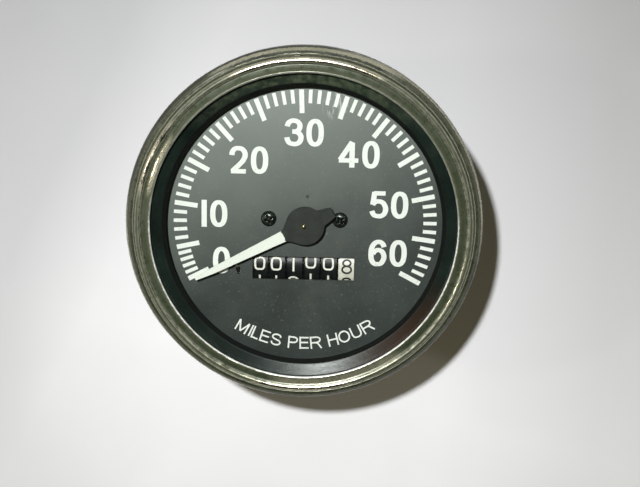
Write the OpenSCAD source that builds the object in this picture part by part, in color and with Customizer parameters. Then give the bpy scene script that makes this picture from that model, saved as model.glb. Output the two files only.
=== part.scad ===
// Magnetic speedometer with a six-wheel odometer, for a round panel hole.
// Millimetres. +Z points out of the dial, +Y to its twelve o'clock mark, and the
// origin is on the instrument's axis, in the plane where the bezel sits on the panel.

/* [Case] */
// Outer diameter of the case barrel
case_d = 84.4; // [82:0.1:88]
// Depth of the case behind the panel
case_depth = 46; // [45:0.5:56]
// Sheet thickness of the case
case_wall = 0.8; // [0.6:0.05:1]
// Outside radius of the rounded rear edge
case_edge_r = 3; // [1.5:0.25:5]
// Width of the flange round the mouth of the case
flange_w = 2.6; // [2.2:0.1:3.4]

/* [Bezel and glass] */
// Width of the bezel's face from its rim to its opening
face_w = 6.8; // [6.6:0.05:7]
// Sheet thickness of the bezel
bezel_wall = 0.9; // [0.7:0.05:1.1]
// Height of the bezel's lip above its inner face
lip_h = 1; // [0.8:0.05:1.4]
// Radius of the rolled lip
lip_roll_r = 0.5; // [0.35:0.05:0.6]
// Height of the ridge above the bezel's inner face
ridge_h = 0.75; // [0.6:0.05:1]
// Radius of the ridge's crest
ridge_r = 0.5; // [0.3:0.05:0.6]
// Distance of the ridge inside the bezel's rim
ridge_in = 4.1; // [3.9:0.05:4.3]
// Distance of the bead inside the bezel's rim
bead_in = 1.9; // [1.7:0.05:2.1]
// Radius of the bead
bead_r = 0.35; // [0.25:0.05:0.45]
// Drop from the bezel's inner face to the bead
bead_drop = 1.35; // [1.1:0.05:1.6]
// Drop from the bezel's inner face to the widest place of the rim
rim_drop = 3.7; // [3:0.1:4.5]
// Radius of the rim where it turns in behind the flange
rim_turn_r = 1.1; // [0.6:0.1:1.5]
// Width of the crimped edge behind the flange
crimp_w = 1.6; // [1.2:0.1:2]
// Clearance between the bezel and the flange's edge
rim_gap = 0.3; // [0.2:0.05:0.5]
// Thickness of the glass
glass_t = 1.6; // [1.2:0.1:2.2]
// Width of the glass that lies under the lip
glass_lap = 2.4; // [2.1:0.1:2.6]
// Thickness of the gasket on the glass
gasket_t = 0.3; // [0.2:0.05:0.6]
// Height of the glass above the dial
glass_rise = 5.5; // [5.3:0.1:7]

/* [Visor ring] */
// Sheet thickness of the visor ring
visor_wall = 0.8; // [0.5:0.05:1]
// How far the visor ring reaches inside the bezel's opening
visor_reach = 3.6; // [3:0.1:4.4]
// Width of the steep bevel at the visor's inner edge
visor_bevel_w = 1.05; // [0.8:0.05:1.4]
// Height of the steep bevel
visor_bevel_h = 1.15; // [0.8:0.05:1.4]
// Rise of the visor's cone
visor_cone_h = 0.9; // [0.6:0.05:1.2]

/* [Dial] */
// Height of the dial's face above the panel seat
dial_z = 2.6; // [2.4:0.1:3.4]
// Thickness of the dial plate
dial_t = 0.8; // [0.5:0.05:1.2]
// Width of the dial plate's edge under the visor ring
dial_lap = 3.8; // [2.5:0.1:4.4]
// Width of the odometer window
window_w = 26.8; // [26:0.1:28]
// Height of the odometer window
window_h = 6.1; // [5.5:0.1:7]
// Distance of the window's centre below the dial's centre
window_y = 12; // [11.8:0.1:12.4]
// Distance between the two dial screws
dial_screw_span = 18.6; // [16:0.1:20]
// Height of the dial screws above the dial's centre
dial_screw_y = 1.1; // [0:0.1:2]
// Diameter of a dial screw's head
dial_screw_head_d = 4.1; // [3.4:0.1:4.6]
// Shank diameter of a dial screw
dial_screw_d = 2; // [1.6:0.1:2.4]

/* [Pointer] */
// Angle of the pointer at zero, from six o'clock towards nine
zero_angle = 62.5; // [50:0.5:70]
// Length of the pointer from the spindle to its tip
pointer_len = 31.5; // [28:0.1:33]
// Diameter of the pointer's round middle
pointer_disc_d = 10; // [8:0.1:11]
// Offset of the round middle from the spindle, towards the tail
disc_offset = 0.3; // [0:0.05:0.6]
// Width of the arm where it leaves the middle
arm_root_w = 2.9; // [2.4:0.1:3.4]
// Width of the arm where its point starts
arm_end_w = 1.6; // [1.4:0.1:2.3]
// Width of the tip
arm_tip_w = 0.7; // [0.4:0.05:1.1]
// Length of the arm's point
arm_point_l = 5; // [3:0.1:7]
// Length of the tail from the spindle
tail_len = 8.4; // [7:0.1:9]
// Width of the tail
tail_w = 2.7; // [1.8:0.1:3]
// Sheet thickness of the pointer
pointer_t = 0.4; // [0.3:0.05:0.6]
// Height of the pointer above the dial
pointer_rise = 4; // [3.4:0.1:4.3]
// Diameter of the spindle
spindle_d = 1.4; // [1:0.05:1.6]
// Diameter of the spindle's tip above the pointer
spindle_tip_d = 0.9; // [0.6:0.05:1]
// Height of the spindle's tip above the dial
spindle_rise = 5.2; // [4.9:0.05:5.2]
// Diameter of the stop wire
stop_d = 0.8; // [0.6:0.05:1]
// Place of the stop wire's foot left of the dial's centre
stop_x = 17.2; // [16.5:0.05:18]
// Place of the stop wire's foot below the dial's centre
stop_y = 13.2; // [12:0.1:14]

/* [Odometer] */
// Diameter of a number wheel
wheel_d = 16; // [15:0.1:16.4]
// Width of a number wheel's rim
wheel_w = 3.8; // [3.6:0.05:4]
// Distance from one number wheel to the next
wheel_pitch = 4.55; // [4.5:0.01:4.7]
// Thickness of the toothed rings and driver discs
ring_t = 0.3; // [0.2:0.02:0.32]
// Diameter of the odometer's shaft
odo_shaft_d = 2.4; // [2:0.1:3]
// Diameter of the transfer pinions' shaft
pinion_shaft_d = 1.2; // [0.9:0.05:1.3]
// Module of the transfer teeth
transfer_m = 0.65; // [0.62:0.01:0.68]
// Gap between the number wheels and the dial
wheel_gap = 0.4; // [0.3:0.05:0.8]
// Sheet thickness of the odometer's frame
odo_sheet_t = 0.7; // [0.5:0.05:0.9]

/* [Worm drive] */
// Module of the two lower worms and their wheels
worm_m = 0.6; // [0.56:0.01:0.62]
// Module of the upper worm and its wheel
odo_m = 0.5; // [0.46:0.01:0.52]
// Teeth of each worm wheel
worm_teeth = 20; // [18:2:22]
// Face width of the worm wheels
worm_face_w = 2.4; // [1.8:0.1:2.8]
// Height of the cross shaft above the base frame
cross_h = 8.2; // [8:0.1:8.6]
// Diameter of the cross shaft and of the upright shaft
train_shaft_d = 2; // [1.6:0.1:2.2]

/* [Magnetic drive] */
// Diameter of the magnet
magnet_d = 19; // [16:0.5:19.4]
// Thickness of the magnet
magnet_t = 5.6; // [4.6:0.1:6.4]
// Outer diameter of the speed cup
cup_d = 21.4; // [21:0.1:21.8]
// Wall of the speed cup
cup_wall = 0.6; // [0.4:0.05:0.6]
// Outer diameter of the field cup
field_d = 24.8; // [24.2:0.1:26]
// Wall of the field cup
field_wall = 0.8; // [0.6:0.05:1]
// Gap between the magnet and the speed cup's top
cup_gap = 0.7; // [0.6:0.05:1]

/* [Frame] */
// Thickness of the top plate
top_plate_t = 1.6; // [1.4:0.05:2]
// Gap between the case's wall and the top plate and base frame
frame_gap = 9.4; // [8:0.1:10]
// Thickness of the base frame
base_t = 4; // [3.6:0.1:4.6]
// Distance of the pillars inside the frame's edge
pillar_in = 3.5; // [3:0.1:4]
// Diameter of the pillars
pillar_d = 5; // [4:0.1:5.4]

/* [Rear connections] */
// Outer diameter of the threaded nose
nose_d = 22.2; // [20:0.1:23]
// Length of the nose behind the case
nose_len = 16; // [12:0.5:20]
// Width of the thread relief groove at the nose's root
relief_w = 1.4; // [1:0.1:2]
// Depth of the thread relief groove
relief_depth = 1; // [0.6:0.1:1.2]
// Bore of the nose for the cable's ferrule
ferrule_d = 12.7; // [12:0.1:14]
// Depth of the ferrule's bore
ferrule_depth = 9; // [6:0.5:10]
// Size of the square socket in the drive shaft
square_w = 3.97; // [3:0.01:4]
// Diameter of the drive shaft in its bush
drive_d = 7.2; // [6.4:0.1:7.6]
// Diameter of the mounting studs
stud_d = 4.82; // [4:0.02:6]
// Length of the mounting studs behind the case
stud_len = 13; // [8:0.5:15]
// Distance between the mounting studs
stud_span = 50.8; // [44:0.1:54]

/* [Hidden] */
$fn = 96;

// Clearances: a turning shaft in its hole, a pressed or threaded one, and free air
run_gap = 0.04;
press_gap = 0.02;
air_gap = 0.3;
// How far one solid reaches into another where both are one piece
sink = 0.2;

case_r = case_d / 2;
case_in_r = case_r - case_wall;
flange_r = case_r + flange_w;
bezel_r = flange_r + rim_gap + bezel_wall;
opening_r = bezel_r - face_w;
flange_z = bezel_wall;
visor_foot_z = flange_z + case_wall;
glass_z = dial_z + glass_rise;
gasket_z = glass_z + glass_t;
bezel_in_z = gasket_z + gasket_t;
glass_r = opening_r + glass_lap;
visor_r = opening_r - visor_reach;
visor_bevel_r = visor_r + visor_bevel_w;
visor_post_r = glass_r + 0.2;
visor_seat_r = opening_r + 0.3;

dial_back_z = dial_z - dial_t;
top_plate_z = dial_back_z - top_plate_t;
rear_z = -case_depth;
case_floor_z = rear_z + case_wall;
base_z = case_floor_z;
base_top_z = base_z + base_t;
nose_end_z = rear_z - nose_len;
nose_flange_r = 15;
nose_flange_t = base_t / 2;
nose_top_z = base_z + nose_flange_t;
ferrule_end_z = nose_end_z + ferrule_depth;
frame_r = case_in_r - frame_gap;
pillar_r = frame_r - pillar_in;
pillar_angles = [-20, 100, 215];

// The pointer hangs between the dial and the glass, the spindle's pivot stands in the shaft
pointer_z = dial_z + pointer_rise;
spindle_top_z = dial_z + spindle_rise;
boss_h = 1.8;
boss_r = 1.8;
cup_r = cup_d / 2;
pivot_d = 0.7;
jewel_r = 1.2;
jewel_t = 1.8;
shaft_top_r = 2.25;
spring_coil_turns = 5;
spring_in_r = 1.6;
spring_pitch = 0.66;
spring_t = 0.14;
spring_h = 0.5;
spring_z = top_plate_z - 1.6;
collet_r = spring_in_r - spring_t / 2;

// Three equal worm stages, each with a two-start worm
worm_tip_add = 0.85;
worm_root_ded = 1.15;
tooth_fill = 0.44;
pressure_a = 20;
worm_starts = 2;
worm_q = 10;
lead_angle = atan(worm_starts / worm_q);
worm_r = worm_m * worm_q / 2;
worm_wheel_r = worm_m * worm_teeth / 2;
cross_x = worm_r + worm_wheel_r;
upright_x = 2 * cross_x;
odo_worm_r = odo_m * worm_q / 2;
odo_wheel_r = odo_m * worm_teeth / 2;
odo_y = -window_y;
odo_z = dial_back_z - wheel_gap - wheel_d / 2;
upright_y = odo_y - odo_worm_r - odo_wheel_r;
cross_z = base_top_z + cross_h;
field_z = cross_z + worm_wheel_r + worm_tip_add * worm_m + 0.5;
magnet_z = field_z + field_wall;
magnet_top_z = magnet_z + magnet_t;
cup_top_z = magnet_top_z + cup_gap + cup_wall;
worm_pitches = 3;
cross_front_y = worm_face_w / 2;
cross_back_y = upright_y - worm_pitches * PI * worm_m / 2 - 1;
cross_post_t = 2.4;
gear_hub_w = 1.3;
gear_tube_w = 0.9;
upright_boss_h = cross_h - worm_face_w / 2 - 2.6;

// Number wheels from the tenths on the right to the ten thousands on the left
wheel_names = ["tenths", "units", "tens", "hundreds", "thousands", "ten thousands"];
wheel_count = len(wheel_names);
wheel_r = wheel_d / 2;
ring_teeth = 20;
pinion_teeth = 8;
ring_r = transfer_m * ring_teeth / 2;
pinion_r = transfer_m * pinion_teeth / 2;
pinion_y = odo_y - ring_r - pinion_r;
pinion_hub_r = pinion_y * -1 + odo_y - wheel_r - 0.15;
wheel_gap_w = wheel_pitch - wheel_w;
train_half_w = wheel_pitch * wheel_count / 2;
odo_side_x = train_half_w + air_gap;
odo_side_out_x = odo_side_x + odo_sheet_t;
odo_bore_x = odo_side_out_x + 3;

function wheel_x(k) = (wheel_count / 2 - 0.5 - k) * wheel_pitch;

// Points of an arc in the plane, from angle a0 to a1
function arc(cx, cy, r, a0, a1, n) =
    [for (i = [0 : n]) let (a = a0 + (a1 - a0) * i / n) [cx + r * cos(a), cy + r * sin(a)]];

// Outline of a spur gear: straight-sided teeth, the first one on the +X axis
function gear_outline(m, n, tip_add = worm_tip_add, root_ded = worm_root_ded, fill = tooth_fill) =
    [for (i = [0 : n - 1])
        let (a = 360 * i / n,
             r = m * n / 2,
             tip_r = r + tip_add * m,
             root_r = r - root_ded * m,
             tip_a = (fill * PI * m - 2 * tip_add * m * tan(pressure_a)) / 2 / tip_r * 180 / PI,
             root_a = (fill * PI * m + 2 * root_ded * m * tan(pressure_a)) / 2 / root_r * 180 / PI)
        each [[root_r * cos(a - root_a), root_r * sin(a - root_a)],
              [tip_r * cos(a - tip_a), tip_r * sin(a - tip_a)],
              [tip_r * cos(a + tip_a), tip_r * sin(a + tip_a)],
              [root_r * cos(a + root_a), root_r * sin(a + root_a)]]];

// Axial thickness of a worm's thread at radius r
function thread_t(m, r) = tooth_fill * PI * m - 2 * (r - m * worm_q / 2) * tan(pressure_a);

// One start of a worm's cross-section, centred on angle a
function worm_start(m, a) =
    let (r = m * worm_q / 2,
         root_r = r - worm_root_ded * m,
         tip_r = r + worm_tip_add * m,
         turn = 180 / (worm_starts * PI * m))
    [for (p = [[root_r, -1], [r, -1], [tip_r, -1], [tip_r, 1], [r, 1], [root_r, 1]])
        let (b = a + p[1] * thread_t(m, p[0]) * turn)
        [p[0] * cos(b), p[0] * sin(b)]];

// A worm along +Z, centred on the origin, with a gap between threads on the +X side
module worm(m, hand) {
    length = worm_pitches * PI * m;
    root_r = m * worm_q / 2 - worm_root_ded * m;
    section = [for (s = [0 : worm_starts - 1])
        each concat(worm_start(m, 360 * s / worm_starts),
            [for (b = [60, 90, 120]) let (c = 360 * s / worm_starts + b)
                [root_r * cos(c), root_r * sin(c)]])];
    translate([0, 0, -length / 2])
        linear_extrude(length, twist = -hand * 180 * worm_pitches, slices = 9 * worm_pitches,
                       segments = 0)
            polygon(section);
}

// One tooth of a worm wheel on the +X side, leaning with the worm's thread
module leaning_tooth(m, face_w, lean) {
    r = m * worm_teeth / 2;
    tip_r = r + worm_tip_add * m;
    root_r = r - worm_root_ded * m;
    pitch_w = tooth_fill * PI * m;
    tip_w = pitch_w - 2 * worm_tip_add * m * tan(pressure_a);
    root_w = pitch_w + 2 * worm_root_ded * m * tan(pressure_a);
    rotate([lean, 0, 0])
        linear_extrude(face_w * 1.4, center = true)
            polygon([[root_r - sink, -root_w / 2], [root_r, -root_w / 2], [tip_r, -tip_w / 2],
                     [tip_r, tip_w / 2], [root_r, root_w / 2], [root_r - sink, root_w / 2]]);
}

// A worm wheel round +Z with a tooth on the -X side, where it meets the worm
module worm_wheel(m, hand) {
    root_r = m * worm_teeth / 2 - worm_root_ded * m;
    intersection() {
        union() {
            cylinder(h = worm_face_w, r = root_r, center = true);
            for (i = [0 : worm_teeth - 1])
                rotate([0, 0, 180 + i * 360 / worm_teeth])
                    leaning_tooth(m, worm_face_w, -hand * lead_angle);
        }
        cylinder(h = worm_face_w, r = root_r + 3 * m, center = true);
    }
}

// Turns a piece drawn round +Z so that it lies round +Y, or round +X
module along_y() {
    rotate([-90, 0, 0]) children();
}

module along_x() {
    rotate([90, 0, 90]) children();
}

// A cross recess, cut down from z = 0
module cross_recess(w, depth) {
    for (a = [0, 90])
        rotate([0, 0, a])
            translate([-w / 2, -w / 8, -depth])
                cube([w, w / 4, depth + 1]);
}

// A pan head on z = 0 with its shank below
module pan_screw(head_d, head_h, shank_d, shank_l) {
    edge_r = head_h * 0.6;
    difference() {
        union() {
            rotate_extrude()
                polygon(concat([[0, 0], [head_d / 2, 0]],
                    arc(head_d / 2 - edge_r, head_h - edge_r, edge_r, 0, 90, 5), [[0, head_h]]));
            translate([0, 0, -shank_l])
                cylinder(h = shank_l + sink, d = shank_d);
        }
        translate([0, 0, head_h])
            cross_recess(head_d * 0.55, head_h * 0.55);
    }
}

// A countersunk screw with the top of its head on z = 0
module flush_screw(head_d, shank_d, length) {
    cone_h = (head_d - shank_d) / 2;
    difference() {
        union() {
            translate([0, 0, -cone_h])
                cylinder(h = cone_h, d1 = shank_d, d2 = head_d);
            translate([0, 0, -length])
                cylinder(h = length - cone_h + 0.01, d = shank_d);
        }
        cross_recess(head_d * 0.5, cone_h * 0.6);
    }
}

module flush_hole(head_d, shank_d, depth) {
    cone_h = (head_d - shank_d) / 2;
    translate([0, 0, -cone_h - press_gap])
        cylinder(h = cone_h + 2 * press_gap, d1 = shank_d + 2 * press_gap, d2 = head_d + 4 * press_gap);
    translate([0, 0, -depth])
        cylinder(h = depth, d = shank_d + 2 * press_gap);
}

module at_pillars() {
    for (a = pillar_angles)
        rotate([0, 0, a])
            translate([pillar_r, 0, 0])
                children();
}

module at_dial_screws() {
    for (side = [-1, 1])
        translate([side * dial_screw_span / 2, dial_screw_y, 0])
            children();
}

module at_studs() {
    for (side = [-1, 1])
        translate([side * stud_span / 2, 0, 0])
            children();
}

pillar_head_d = 4.4;
pillar_shank_d = 2.5;
pillar_screw_l = 7;
rear_shank_d = 3;
rear_head_d = 5.5;
rear_head_h = 1.9;
rear_screw_l = case_wall + base_t + 5;
odo_tab_x = odo_side_out_x + 2.8;
odo_tab_y = odo_y + 4.2;
odo_screw_head_d = 3.2;
odo_screw_d = 1.7;
odo_screw_l = 3;

// Drawn steel cup with a flange at its mouth
module case() {
    color("#4b4c49")
    difference() {
        rotate_extrude($fn = 128)
            polygon(concat(
                [[flange_r, flange_z + case_wall], [flange_r, flange_z], [case_r, flange_z]],
                arc(case_r - case_edge_r, rear_z + case_edge_r, case_edge_r, 0, -90, 6),
                [[nose_d / 2 + air_gap, rear_z], [nose_d / 2 + air_gap, case_floor_z]],
                arc(case_r - case_edge_r, rear_z + case_edge_r, case_edge_r - case_wall, -90, 0, 6),
                [[case_in_r, flange_z + case_wall]]));
        at_pillars()
            translate([0, 0, rear_z - 1])
                cylinder(h = case_wall + 2, d = rear_shank_d + 2 * air_gap, $fn = 32);
    }
}

// Plated bezel: rolled lip, ridge, bead and a rim crimped round the flange
module bezel() {
    ridge_x = bezel_r - ridge_in;
    bead_x = bezel_r - bead_in;
    bead_z = bezel_in_z - bead_drop;
    rim_z = bezel_in_z - rim_drop;
    lip_z = bezel_in_z + lip_h;
    flank_w = bead_in - bead_r;
    color("#b9b8a6")
    rotate_extrude($fn = 128)
        polygon(concat(
            [[opening_r + lip_roll_r / 2, bezel_in_z]],
            arc(opening_r + lip_roll_r, lip_z - lip_roll_r, lip_roll_r, 200, 60, 7),
            [[(opening_r + ridge_x) / 2 + 0.1, bezel_in_z + ridge_h - 0.2]],
            arc(ridge_x, bezel_in_z + ridge_h - ridge_r, ridge_r, 120, 25, 5),
            [[bead_x - bead_r - 0.15, bead_z - 0.1]],
            arc(bead_x, bead_z, bead_r, 150, 20, 5),
            [for (a = [75, 60, 45, 30, 15, 0])
                [bezel_r - flank_w * (1 - cos(a)), rim_z + (bead_z - rim_z - 0.3) * sin(a)]],
            arc(bezel_r - rim_turn_r, rim_turn_r, rim_turn_r, 0, -90, 5),
            [[flange_r - crimp_w, 0], [flange_r - crimp_w, flange_z], [flange_r + rim_gap, flange_z],
             [flange_r + rim_gap, rim_z - 0.2],
             [bead_x - 0.05, bead_z - bezel_wall - 0.3],
             [glass_r + 0.8, bead_z - bezel_wall + 0.1],
             [glass_r + 0.4, bezel_in_z - 0.5],
             [glass_r + 0.3, bezel_in_z]]));
}

module glass() {
    color("#dfe8e4", 0.3)
    translate([0, 0, glass_z])
        cylinder(h = glass_t, r = glass_r, $fn = 128);
}

module glass_gasket() {
    color("#20211f")
    translate([0, 0, gasket_z])
        difference() {
            cylinder(h = gasket_t, r = glass_r, $fn = 128);
            translate([0, 0, -1])
                cylinder(h = gasket_t + 2, r = opening_r + 0.5, $fn = 128);
        }
}

// Black ring between the flange and the glass, with a cone that frames the dial
module visor_ring() {
    cone_z = glass_z - visor_cone_h;
    bevel_z = cone_z - visor_bevel_h;
    color("#1c2422")
    rotate_extrude($fn = 128)
        polygon([
            [flange_r - 0.2, visor_foot_z], [flange_r - 0.2, visor_foot_z + visor_wall],
            [visor_post_r, visor_foot_z + visor_wall], [visor_post_r, glass_z],
            [visor_seat_r, glass_z], [visor_bevel_r, cone_z], [visor_r, bevel_z],
            [visor_r + visor_wall / 2, bevel_z - visor_wall / 2],
            [visor_bevel_r + visor_wall / 3, cone_z - visor_wall],
            [visor_seat_r + 0.1, glass_z - visor_wall], [visor_post_r - visor_wall, glass_z - visor_wall],
            [visor_post_r - visor_wall, visor_foot_z]]);
}

module dial_plate() {
    color("#565c57")
    difference() {
        translate([0, 0, dial_back_z])
            cylinder(h = dial_t, r = visor_r + dial_lap, $fn = 128);
        translate([-window_w / 2, odo_y - window_h / 2, dial_back_z - 1])
            cube([window_w, window_h, dial_t + 2]);
        translate([0, 0, dial_back_z - 1])
            cylinder(h = dial_t + 2, r = bush_neck_r + air_gap, $fn = 48);
        at_dial_screws()
            translate([0, 0, dial_back_z - 1])
                cylinder(h = dial_t + 2, d = dial_screw_d + 2 * press_gap, $fn = 32);
        translate([-stop_x, -stop_y, dial_back_z - 1])
            cylinder(h = dial_t + 2, d = stop_d + 2 * air_gap, $fn = 32);
    }
}

module dial_screws() {
    color("#22231f")
    at_dial_screws()
        translate([0, 0, dial_z])
            pan_screw(dial_screw_head_d, 1.15, dial_screw_d, dial_t + top_plate_t + 0.4, $fn = 32);
}

// Wire that stops the pointer at zero: upright in the top plate, then leaning over
module stop_wire() {
    knee_z = dial_z + 0.3;
    rise = pointer_z + pointer_t / 2 - knee_z;
    arm_edge_y = stop_x / tan(zero_angle) + arm_root_w / 2 / sin(zero_angle);
    lean = atan((stop_y - stop_d / 2 - arm_edge_y) / rise);
    color("#181916")
    translate([-stop_x, -stop_y, 0]) {
        translate([0, 0, top_plate_z])
            cylinder(h = knee_z - top_plate_z, d = stop_d, $fn = 24);
        translate([0, 0, knee_z - stop_d / 2])
            rotate([-lean, 0, 0])
                cylinder(h = rise / cos(lean), d = stop_d - 0.02, $fn = 24);
    }
}

// Flat pointer with its arm along -Y before it is turned to zero
module pointer() {
    disc_r = pointer_disc_d / 2;
    neck_y = disc_r + 0.9;
    blend_y = disc_r * 0.72;
    blend_x = sqrt(disc_r * disc_r - blend_y * blend_y);
    point_y = pointer_len - arm_point_l;
    half = [[arm_tip_w / 2, -pointer_len], [arm_end_w / 2, -point_y], [arm_root_w / 2, -neck_y],
            [arm_root_w / 2 + 0.35, -neck_y + 0.75], [blend_x, disc_offset - blend_y]];
    tail = [[disc_r * 0.46, disc_offset + disc_r * 0.87], [tail_w / 2, tail_len]];
    color("#e9e9e2")
    rotate([0, 0, -zero_angle])
        translate([0, 0, pointer_z])
            linear_extrude(pointer_t)
                difference() {
                    union() {
                        translate([0, disc_offset])
                            circle(r = disc_r);
                        polygon(concat(half, tail,
                            [for (i = [len(tail) - 1 : -1 : 0]) [-tail[i][0], tail[i][1]]],
                            [for (i = [len(half) - 1 : -1 : 0]) [-half[i][0], half[i][1]]]));
                    }
                    circle(d = spindle_tip_d + 2 * press_gap, $fn = 32);
                }
}

// Brass boss under the pointer, pressed on the spindle
module pointer_boss() {
    color("#b08d45")
    translate([0, 0, pointer_z - boss_h])
        difference() {
            rotate_extrude($fn = 48)
                polygon([[0, 0], [boss_r - 0.4, 0], [boss_r, 0.4], [boss_r, boss_h], [0, boss_h]]);
            translate([0, 0, -1])
                cylinder(h = boss_h + 2, d = spindle_d + 2 * press_gap, $fn = 32);
        }
}

pivot_end_z = magnet_top_z + 0.2 - jewel_t + 0.4;

module spindle() {
    shoulder_z = magnet_top_z + 0.3;
    color("#c9b066")
    rotate_extrude($fn = 32)
        polygon([
            [0, pivot_end_z], [pivot_d / 2 - 0.1, pivot_end_z], [pivot_d / 2, pivot_end_z + 0.1],
            [pivot_d / 2, shoulder_z], [spindle_d / 2, shoulder_z + 0.3], [spindle_d / 2, pointer_z],
            [spindle_tip_d / 2, pointer_z], [spindle_tip_d / 2, spindle_top_z - 0.15],
            [spindle_tip_d / 2 - 0.15, spindle_top_z], [0, spindle_top_z]]);
}

// Aluminium cup that hangs over the magnet
module speed_cup() {
    hub_r = 1.8;
    hub_h = 1.6;
    skirt_h = magnet_t * 0.9 + cup_gap + cup_wall;
    color("#c4c6c4")
    difference() {
        union() {
            translate([0, 0, cup_top_z - skirt_h])
                difference() {
                    cylinder(h = skirt_h, r = cup_r);
                    translate([0, 0, -1])
                        cylinder(h = skirt_h + 1 - cup_wall, r = cup_r - cup_wall);
                }
            translate([0, 0, cup_top_z - cup_wall / 2])
                cylinder(h = hub_h + cup_wall / 2, r = hub_r, $fn = 48);
        }
        translate([0, 0, cup_top_z - 5])
            cylinder(h = 10, d = spindle_d + 2 * press_gap, $fn = 32);
    }
}

module hairspring_collet() {
    color("#b08d45")
    translate([0, 0, spring_z - 0.3])
        difference() {
            cylinder(h = spring_h + 0.6, r = collet_r - press_gap, $fn = 48);
            translate([0, 0, -1])
                cylinder(h = spring_h + 3, d = spindle_d + 2 * press_gap, $fn = 32);
        }
}

function spring_edge(side) =
    [for (i = [0 : 20 * spring_coil_turns])
        let (a = i * 18, r = spring_in_r + spring_pitch * a / 360 + side * spring_t / 2)
        [r * cos(a), r * sin(a)]];

// Flat spiral that returns the pointer to zero
module hairspring() {
    inner = spring_edge(-1);
    outer = spring_edge(1);
    color("#8f7a45")
    translate([0, 0, spring_z])
        linear_extrude(spring_h)
            polygon(concat(outer, [for (i = [len(inner) - 1 : -1 : 0]) inner[i]]));
}

spring_end_r = spring_in_r + spring_pitch * spring_coil_turns;

// Stud that holds the hairspring's outer end
module hairspring_anchor() {
    stud_r = 0.7;
    color("#b08d45")
    translate([spring_end_r + spring_t / 2 + press_gap + stud_r, 0, spring_z - 0.2])
        cylinder(h = top_plate_z - spring_z + 0.2, r = stud_r, $fn = 32);
}

bush_neck_r = 1.9;
bush_body_r = 2.6;
bush_flange_r = 3.6;
bush_flange_t = 0.6;

// Brass bearing for the spindle in the top plate
module spindle_bush() {
    color("#b08d45")
    difference() {
        union() {
            translate([0, 0, top_plate_z - bush_flange_t])
                cylinder(h = bush_flange_t, r = bush_flange_r, $fn = 48);
            translate([0, 0, top_plate_z - sink])
                cylinder(h = top_plate_t + sink, r = bush_body_r, $fn = 48);
            translate([0, 0, dial_back_z - sink])
                cylinder(h = dial_t + sink - 0.2, r = bush_neck_r, $fn = 48);
        }
        translate([0, 0, top_plate_z - 3])
            cylinder(h = 8, r = spindle_d / 2 + run_gap, $fn = 32);
    }
}

// Plate that carries the dial, the odometer and the upper bearings
module top_plate() {
    slot_w = 2 * train_half_w + 2 * air_gap;
    slot_half = sqrt(pow(wheel_r + 0.5, 2) - pow(top_plate_z - odo_z, 2));
    color("#a3a59f")
    difference() {
        translate([0, 0, top_plate_z])
            cylinder(h = top_plate_t, r = frame_r);
        translate([-slot_w / 2, odo_y - slot_half, top_plate_z - 1])
            cube([slot_w, 2 * slot_half, top_plate_t + 2]);
        translate([0, 0, top_plate_z - 1])
            cylinder(h = top_plate_t + 2, r = bush_body_r + press_gap, $fn = 48);
        at_dial_screws()
            translate([0, 0, top_plate_z - 1])
                cylinder(h = top_plate_t + 2, d = dial_screw_d + 2 * press_gap, $fn = 32);
        translate([-stop_x, -stop_y, top_plate_z - 1])
            cylinder(h = top_plate_t + 2, d = stop_d + 2 * press_gap, $fn = 32);
        at_pillars()
            translate([0, 0, dial_back_z])
                flush_hole(pillar_head_d, pillar_shank_d, top_plate_t + 1, $fn = 48);
        for (side = [-1, 1])
            translate([side * odo_tab_x, odo_tab_y, dial_back_z])
                flush_hole(odo_screw_head_d, odo_screw_d, top_plate_t + 1, $fn = 48);
        translate([upright_x, upright_y, top_plate_z - 1])
            cylinder(h = top_plate_t + 2, r = train_shaft_d / 2 + run_gap, $fn = 32);
    }
}

module frame_pillars() {
    color("#9c9d97")
    at_pillars()
        difference() {
            translate([0, 0, base_top_z])
                cylinder(h = top_plate_z - base_top_z, d = pillar_d, $fn = 6);
            translate([0, 0, top_plate_z - 7])
                cylinder(h = 8, d = pillar_shank_d + 2 * press_gap, $fn = 32);
            translate([0, 0, base_top_z - 1])
                cylinder(h = 8, d = rear_shank_d + 2 * press_gap, $fn = 32);
        }
}

module pillar_screws() {
    color("#8e8f89")
    at_pillars()
        translate([0, 0, dial_back_z])
            flush_screw(pillar_head_d, pillar_shank_d, pillar_screw_l, $fn = 48);
}

module movement_screws() {
    color("#8e8f89")
    at_pillars()
        translate([0, 0, rear_z])
            rotate([180, 0, 0])
                pan_screw(rear_head_d, rear_head_h, rear_shank_d, rear_screw_l, $fn = 48);
}

// A bearing post on the base for the cross shaft
module cross_post(y0) {
    post_w = 6;
    translate([cross_x, y0, 0])
        difference() {
            union() {
                translate([-post_w / 2, 0, base_top_z - sink])
                    cube([post_w, cross_post_t, cross_h + sink]);
                translate([0, 0, cross_z])
                    along_y()
                        cylinder(h = cross_post_t, d = post_w, $fn = 48);
            }
            translate([0, -1, cross_z])
                along_y()
                    cylinder(h = cross_post_t + 2, r = train_shaft_d / 2 + run_gap, $fn = 32);
        }
}

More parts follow.
